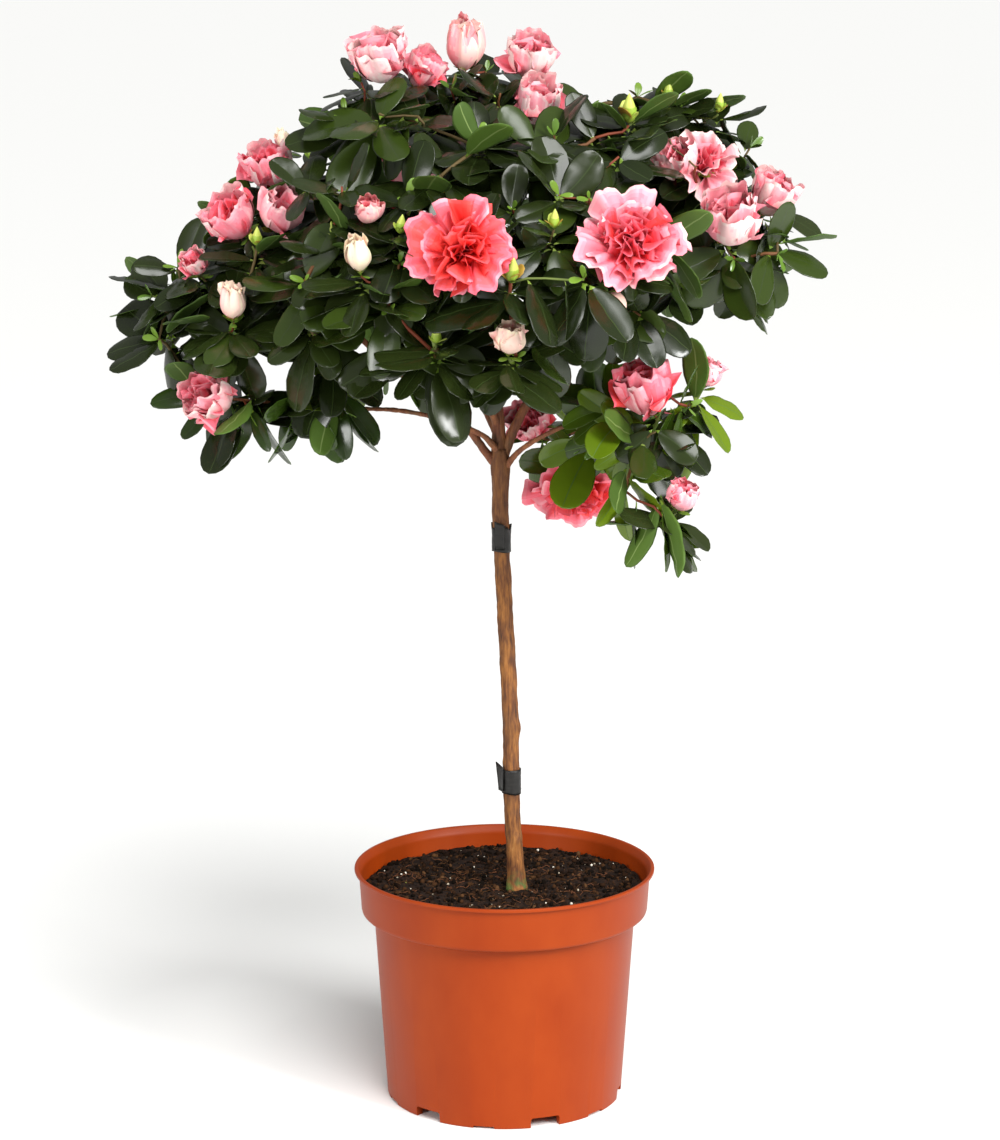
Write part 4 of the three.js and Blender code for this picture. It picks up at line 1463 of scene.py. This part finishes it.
def object_from(made, name):
    """A bmesh as an object, which is removed again once it has cut."""
    mesh = bpy.data.meshes.new(name)
    made.to_mesh(mesh)
    made.free()
    return placed(name, mesh)


def pot_piece():
    """The nursery pot: turned wall, band, lip and foot, with drain notches and holes cut in it."""
    outline = rounded(POT_PROFILE)
    points = [point for radius, height in outline for point in circle(radius, height, POT_TURNS)]
    points += [(0, 0, 0), (0, 0, POT_FLOOR)]
    heap = Heap([pot_finish()])
    heap.add(np.array(points, float), capped_faces(len(outline), POT_TURNS), 0)
    piece = piece_from(heap.mesh("pot_shell"), "pot_plastic", "pot")
    cutters = []
    half_way = math.radians(180 / NOTCHES)
    for number in range(NOTCHES):
        turn = math.radians(FIRST_NOTCH + 360 / NOTCHES * number)
        cutters.append(object_from(notch_cutter(*NOTCH_SIZE, turn), "notch"))
        shallow = notch_cutter(*SHALLOW_NOTCH_SIZE, turn + half_way)
        cutters.append(object_from(shallow, "shallow_notch"))
        cutters.append(object_from(drain_cutter(turn), "drain"))
    for cutter in cutters:
        cut = piece.modifiers.new("cut", "BOOLEAN")
        cut.operation = "DIFFERENCE"
        cut.solver = "EXACT"
        cut.object = cutter
    bpy.context.view_layer.update()
    whole = piece.evaluated_get(bpy.context.evaluated_depsgraph_get())
    result = bpy.data.meshes.new_from_object(whole)
    piece.modifiers.clear()
    piece.data = result
    result.name = "pot_shell"
    for cutter in cutters:
        bpy.data.objects.remove(cutter)
    shape = bmesh.new()
    shape.from_mesh(result)
    for edge in shape.edges:
        edge.smooth = edge.calc_face_angle(0.0) < math.radians(SHARP_EDGE)
    for face in shape.faces:
        face.smooth = True
    shape.to_mesh(result)
    shape.free()


# ---------------------------------------------------------------- compost

SOIL_LEVEL = 121.0
MOUND_RISE = 1.0
SOIL_SEED = 5
BED_RINGS, BED_COLUMNS = 51, 180
BED_FOOT_RADIUS, BED_FOOT = 78.2, 110
CRUMB_TONES = [0x0F0905, 0x1B1009, 0x2A1A0F, 0x3D2716, 0x523822, 0xD6CFC0, 0xA89C88, 0x6E4630,
               0x9DA24E]
CRUMBS, GRAINS, FIBRES = 3300, 100, 330
CRUMB_PAINTS, CRUMB_SHARES = [0, 1, 2, 3, 4], [.3, .28, .22, .13, .07]
GRAIN_PAINTS, GRAIN_SHARES = [5, 5, 6, 6, 8], [.3, .2, .25, .22, .03]
FIBRE_PAINTS = [3, 4, 7]
FIBRE_RADIUS = 0.17
FIBRE_POINTS = 6
STEM_ROOM = 7  # distance from the stem that crumbs keep


def soil_height(x, y):
    """The top of the compost: a low mound of clods."""
    away = math.hypot(x, y)
    mound = SOIL_LEVEL + MOUND_RISE * (1 - smooth((away - 22) / 52))
    return mound + 2.0 * lumps((x, y, 3.1), 11, 4) + 0.9 * lumps((x, y, 9.7), 3.4, 3)


def spot_within(rng, radius):
    """A place picked evenly inside a circle."""
    away = radius * math.sqrt(rng.uniform())
    turn = rng.uniform(0, 2 * math.pi)
    return away * math.cos(turn), away * math.sin(turn)


def lump_shape():
    """A rough ball of radius 1: points and triangles."""
    made = bmesh.new()
    bmesh.ops.create_icosphere(made, subdivisions=1, radius=1.0)
    points = np.array([vertex.co for vertex in made.verts])
    faces = np.array([[vertex.index for vertex in face.verts] + [-1] for face in made.faces])
    made.free()
    return points, faces


def pebble(rng, ball, size):
    """The ball's points as an uneven small lump."""
    stretch = size * rng.uniform(0.6, 1.25, 3)
    tumbled = ball @ np.linalg.qr(rng.normal(0, 1, (3, 3)))[0]
    return tumbled * stretch * (1 + rng.normal(0, 0.12, (len(ball), 1)))


def compost_bed(rim):
    """The compost's clods out to its rim, closed below."""
    points = []
    for share in np.linspace(0, 1, BED_RINGS + 1)[1:]:
        radius = rim * share
        for turn in turns(BED_COLUMNS):
            x, y = radius * math.cos(turn), radius * math.sin(turn)
            points.append((x, y, soil_height(x, y)))
    points += circle(BED_FOOT_RADIUS, BED_FOOT, BED_COLUMNS)
    centre, base = len(points), len(points) + 1
    points += [(0, 0, soil_height(0, 0)), (0, 0, BED_FOOT)]
    ring = list(range(BED_COLUMNS)) + [0]
    foot = [BED_RINGS * BED_COLUMNS + index for index in ring]
    wall = grid_faces(BED_RINGS + 1, BED_COLUMNS, closed=True)[:, ::-1]
    faces = np.vstack([wall, fan_faces(ring, centre), fan_faces(foot[::-1], base)])
    peat = Heap([compost_finish()])
    peat.add(np.array(points, float), faces, 0)
    piece_from(peat.mesh("compost_bed"), "compost", "soil")


def compost_crumbs(rim):
    """Crumbs, white grains and fibres that lie on the compost."""
    rng = np.random.default_rng(SOIL_SEED)
    crumbs = Heap(plain_finishes("crumb", CRUMB_TONES, Roughness=0.95, Specular_IOR_Level=0.08))
    ball, triangles = lump_shape()
    for _ in range(CRUMBS):
        x, y = spot_within(rng, rim - 2)
        if math.hypot(x - STEM_LINE[0][0], y - STEM_LINE[0][1]) < STEM_ROOM:
            continue
        size = 0.35 + 1.5 * rng.uniform() ** 2.4
        spots = pebble(rng, ball, size) + (x, y, soil_height(x, y) + 0.3 * size)
        crumbs.add(spots, triangles, int(rng.choice(CRUMB_PAINTS, p=CRUMB_SHARES)))
    for _ in range(GRAINS):
        x, y = spot_within(rng, rim - 3)
        size = 0.35 + 0.65 * rng.uniform() ** 2
        spots = pebble(rng, ball, size) + (x, y, soil_height(x, y) + 0.45 * size)
        crumbs.add(spots, triangles, int(rng.choice(GRAIN_PAINTS, p=GRAIN_SHARES)))
    for _ in range(FIBRES):
        x, y = spot_within(rng, rim - 8)
        way = rng.uniform(0, 2 * math.pi)
        bend = rng.normal(0, 0.5)
        line = []
        for _point in range(FIBRE_POINTS):
            line.append((x, y, soil_height(x, y) + 0.5 + rng.uniform(0, 0.7)))
            x += 1.5 * math.cos(way)
            y += 1.5 * math.sin(way)
            way += bend
        if math.hypot(x, y) > rim - 3:
            continue
        points, faces = tube(line, np.full(FIBRE_POINTS, FIBRE_RADIUS), 4)
        crumbs.add(points, faces, int(rng.choice(FIBRE_PAINTS)))
    piece_from(crumbs.mesh("compost_crumbs"), "compost")


def compost_pieces():
    """The compost's surface and what lies on it."""
    _low, high = box_of("soil")
    rim = high[0] - 0.2
    compost_bed(rim)
    compost_crumbs(rim)


# ---------------------------------------------------------------- stage

FLOOR_SIZE = 60  # metres, as are all lengths of the stage but the lens's
SKY_STRENGTH = 0.33
SUN_STRENGTH = 3.1
SUN_SPREAD = 35  # degrees, as are the tilts
SUN_TILT = (38, 16)
LAMPS = [("key", (1.6, -1.3, 1.2), 42), ("fill", (-1.5, -1.7, 0.9), 20)]  # name, place and power
LAMP_WIDTH = 0.6
LAMP_TARGET = (0, 0, 0.4)
SENSOR_WIDTH = 36
FOCAL_LENGTH = 110.81
CAMERA_PLACE = (-0.0025, -1.911, 0.708)
CAMERA_TILT = 78.06


def light(name, kind, power):
    """A lamp of a kind in the scene."""
    data = bpy.data.lights.new(name, kind)
    data.energy = power
    return placed(name, data)


def stage():
    """Floor, lights and camera."""
    bpy.ops.mesh.primitive_plane_add(size=FLOOR_SIZE)
    floor = bpy.context.object
    floor.name = "floor"
    floor.data.materials.append(floor_finish())

    world = bpy.data.worlds.new("studio")
    bpy.context.scene.world = world
    world.use_nodes = True
    sky = world.node_tree.nodes["Background"].inputs
    sky["Color"].default_value = (1.0, 1.0, 1.0, 1.0)
    sky["Strength"].default_value = SKY_STRENGTH
    sun = light("daylight", "SUN", SUN_STRENGTH)
    sun.data.angle = math.radians(SUN_SPREAD)
    sun.rotation_euler = (math.radians(SUN_TILT[0]), math.radians(SUN_TILT[1]), 0)
    for name, place, power in LAMPS:
        lamp = light(name, "AREA", power)
        lamp.data.size = LAMP_WIDTH
        lamp.location = place
        towards = Vector(LAMP_TARGET) - lamp.location
        lamp.rotation_euler = towards.to_track_quat("-Z", "Y").to_euler()

    camera = placed("camera", bpy.data.cameras.new("camera"))
    camera.data.sensor_width = SENSOR_WIDTH
    camera.data.lens = FOCAL_LENGTH
    camera.location = CAMERA_PLACE
    camera.rotation_euler = (math.radians(CAMERA_TILT), 0, 0)
    bpy.context.scene.camera = camera
    bpy.context.scene.view_settings.view_transform = "Standard"


stage()
pot_piece()
compost_pieces()
stem_piece()
boughs_piece()
tie_tape = tape_finish()
tie_piece("lower_tie", tie_tape, math.radians(195), 0.0)
tie_piece("upper_tie", tie_tape, math.radians(-100), 1.0)
grow_crown()
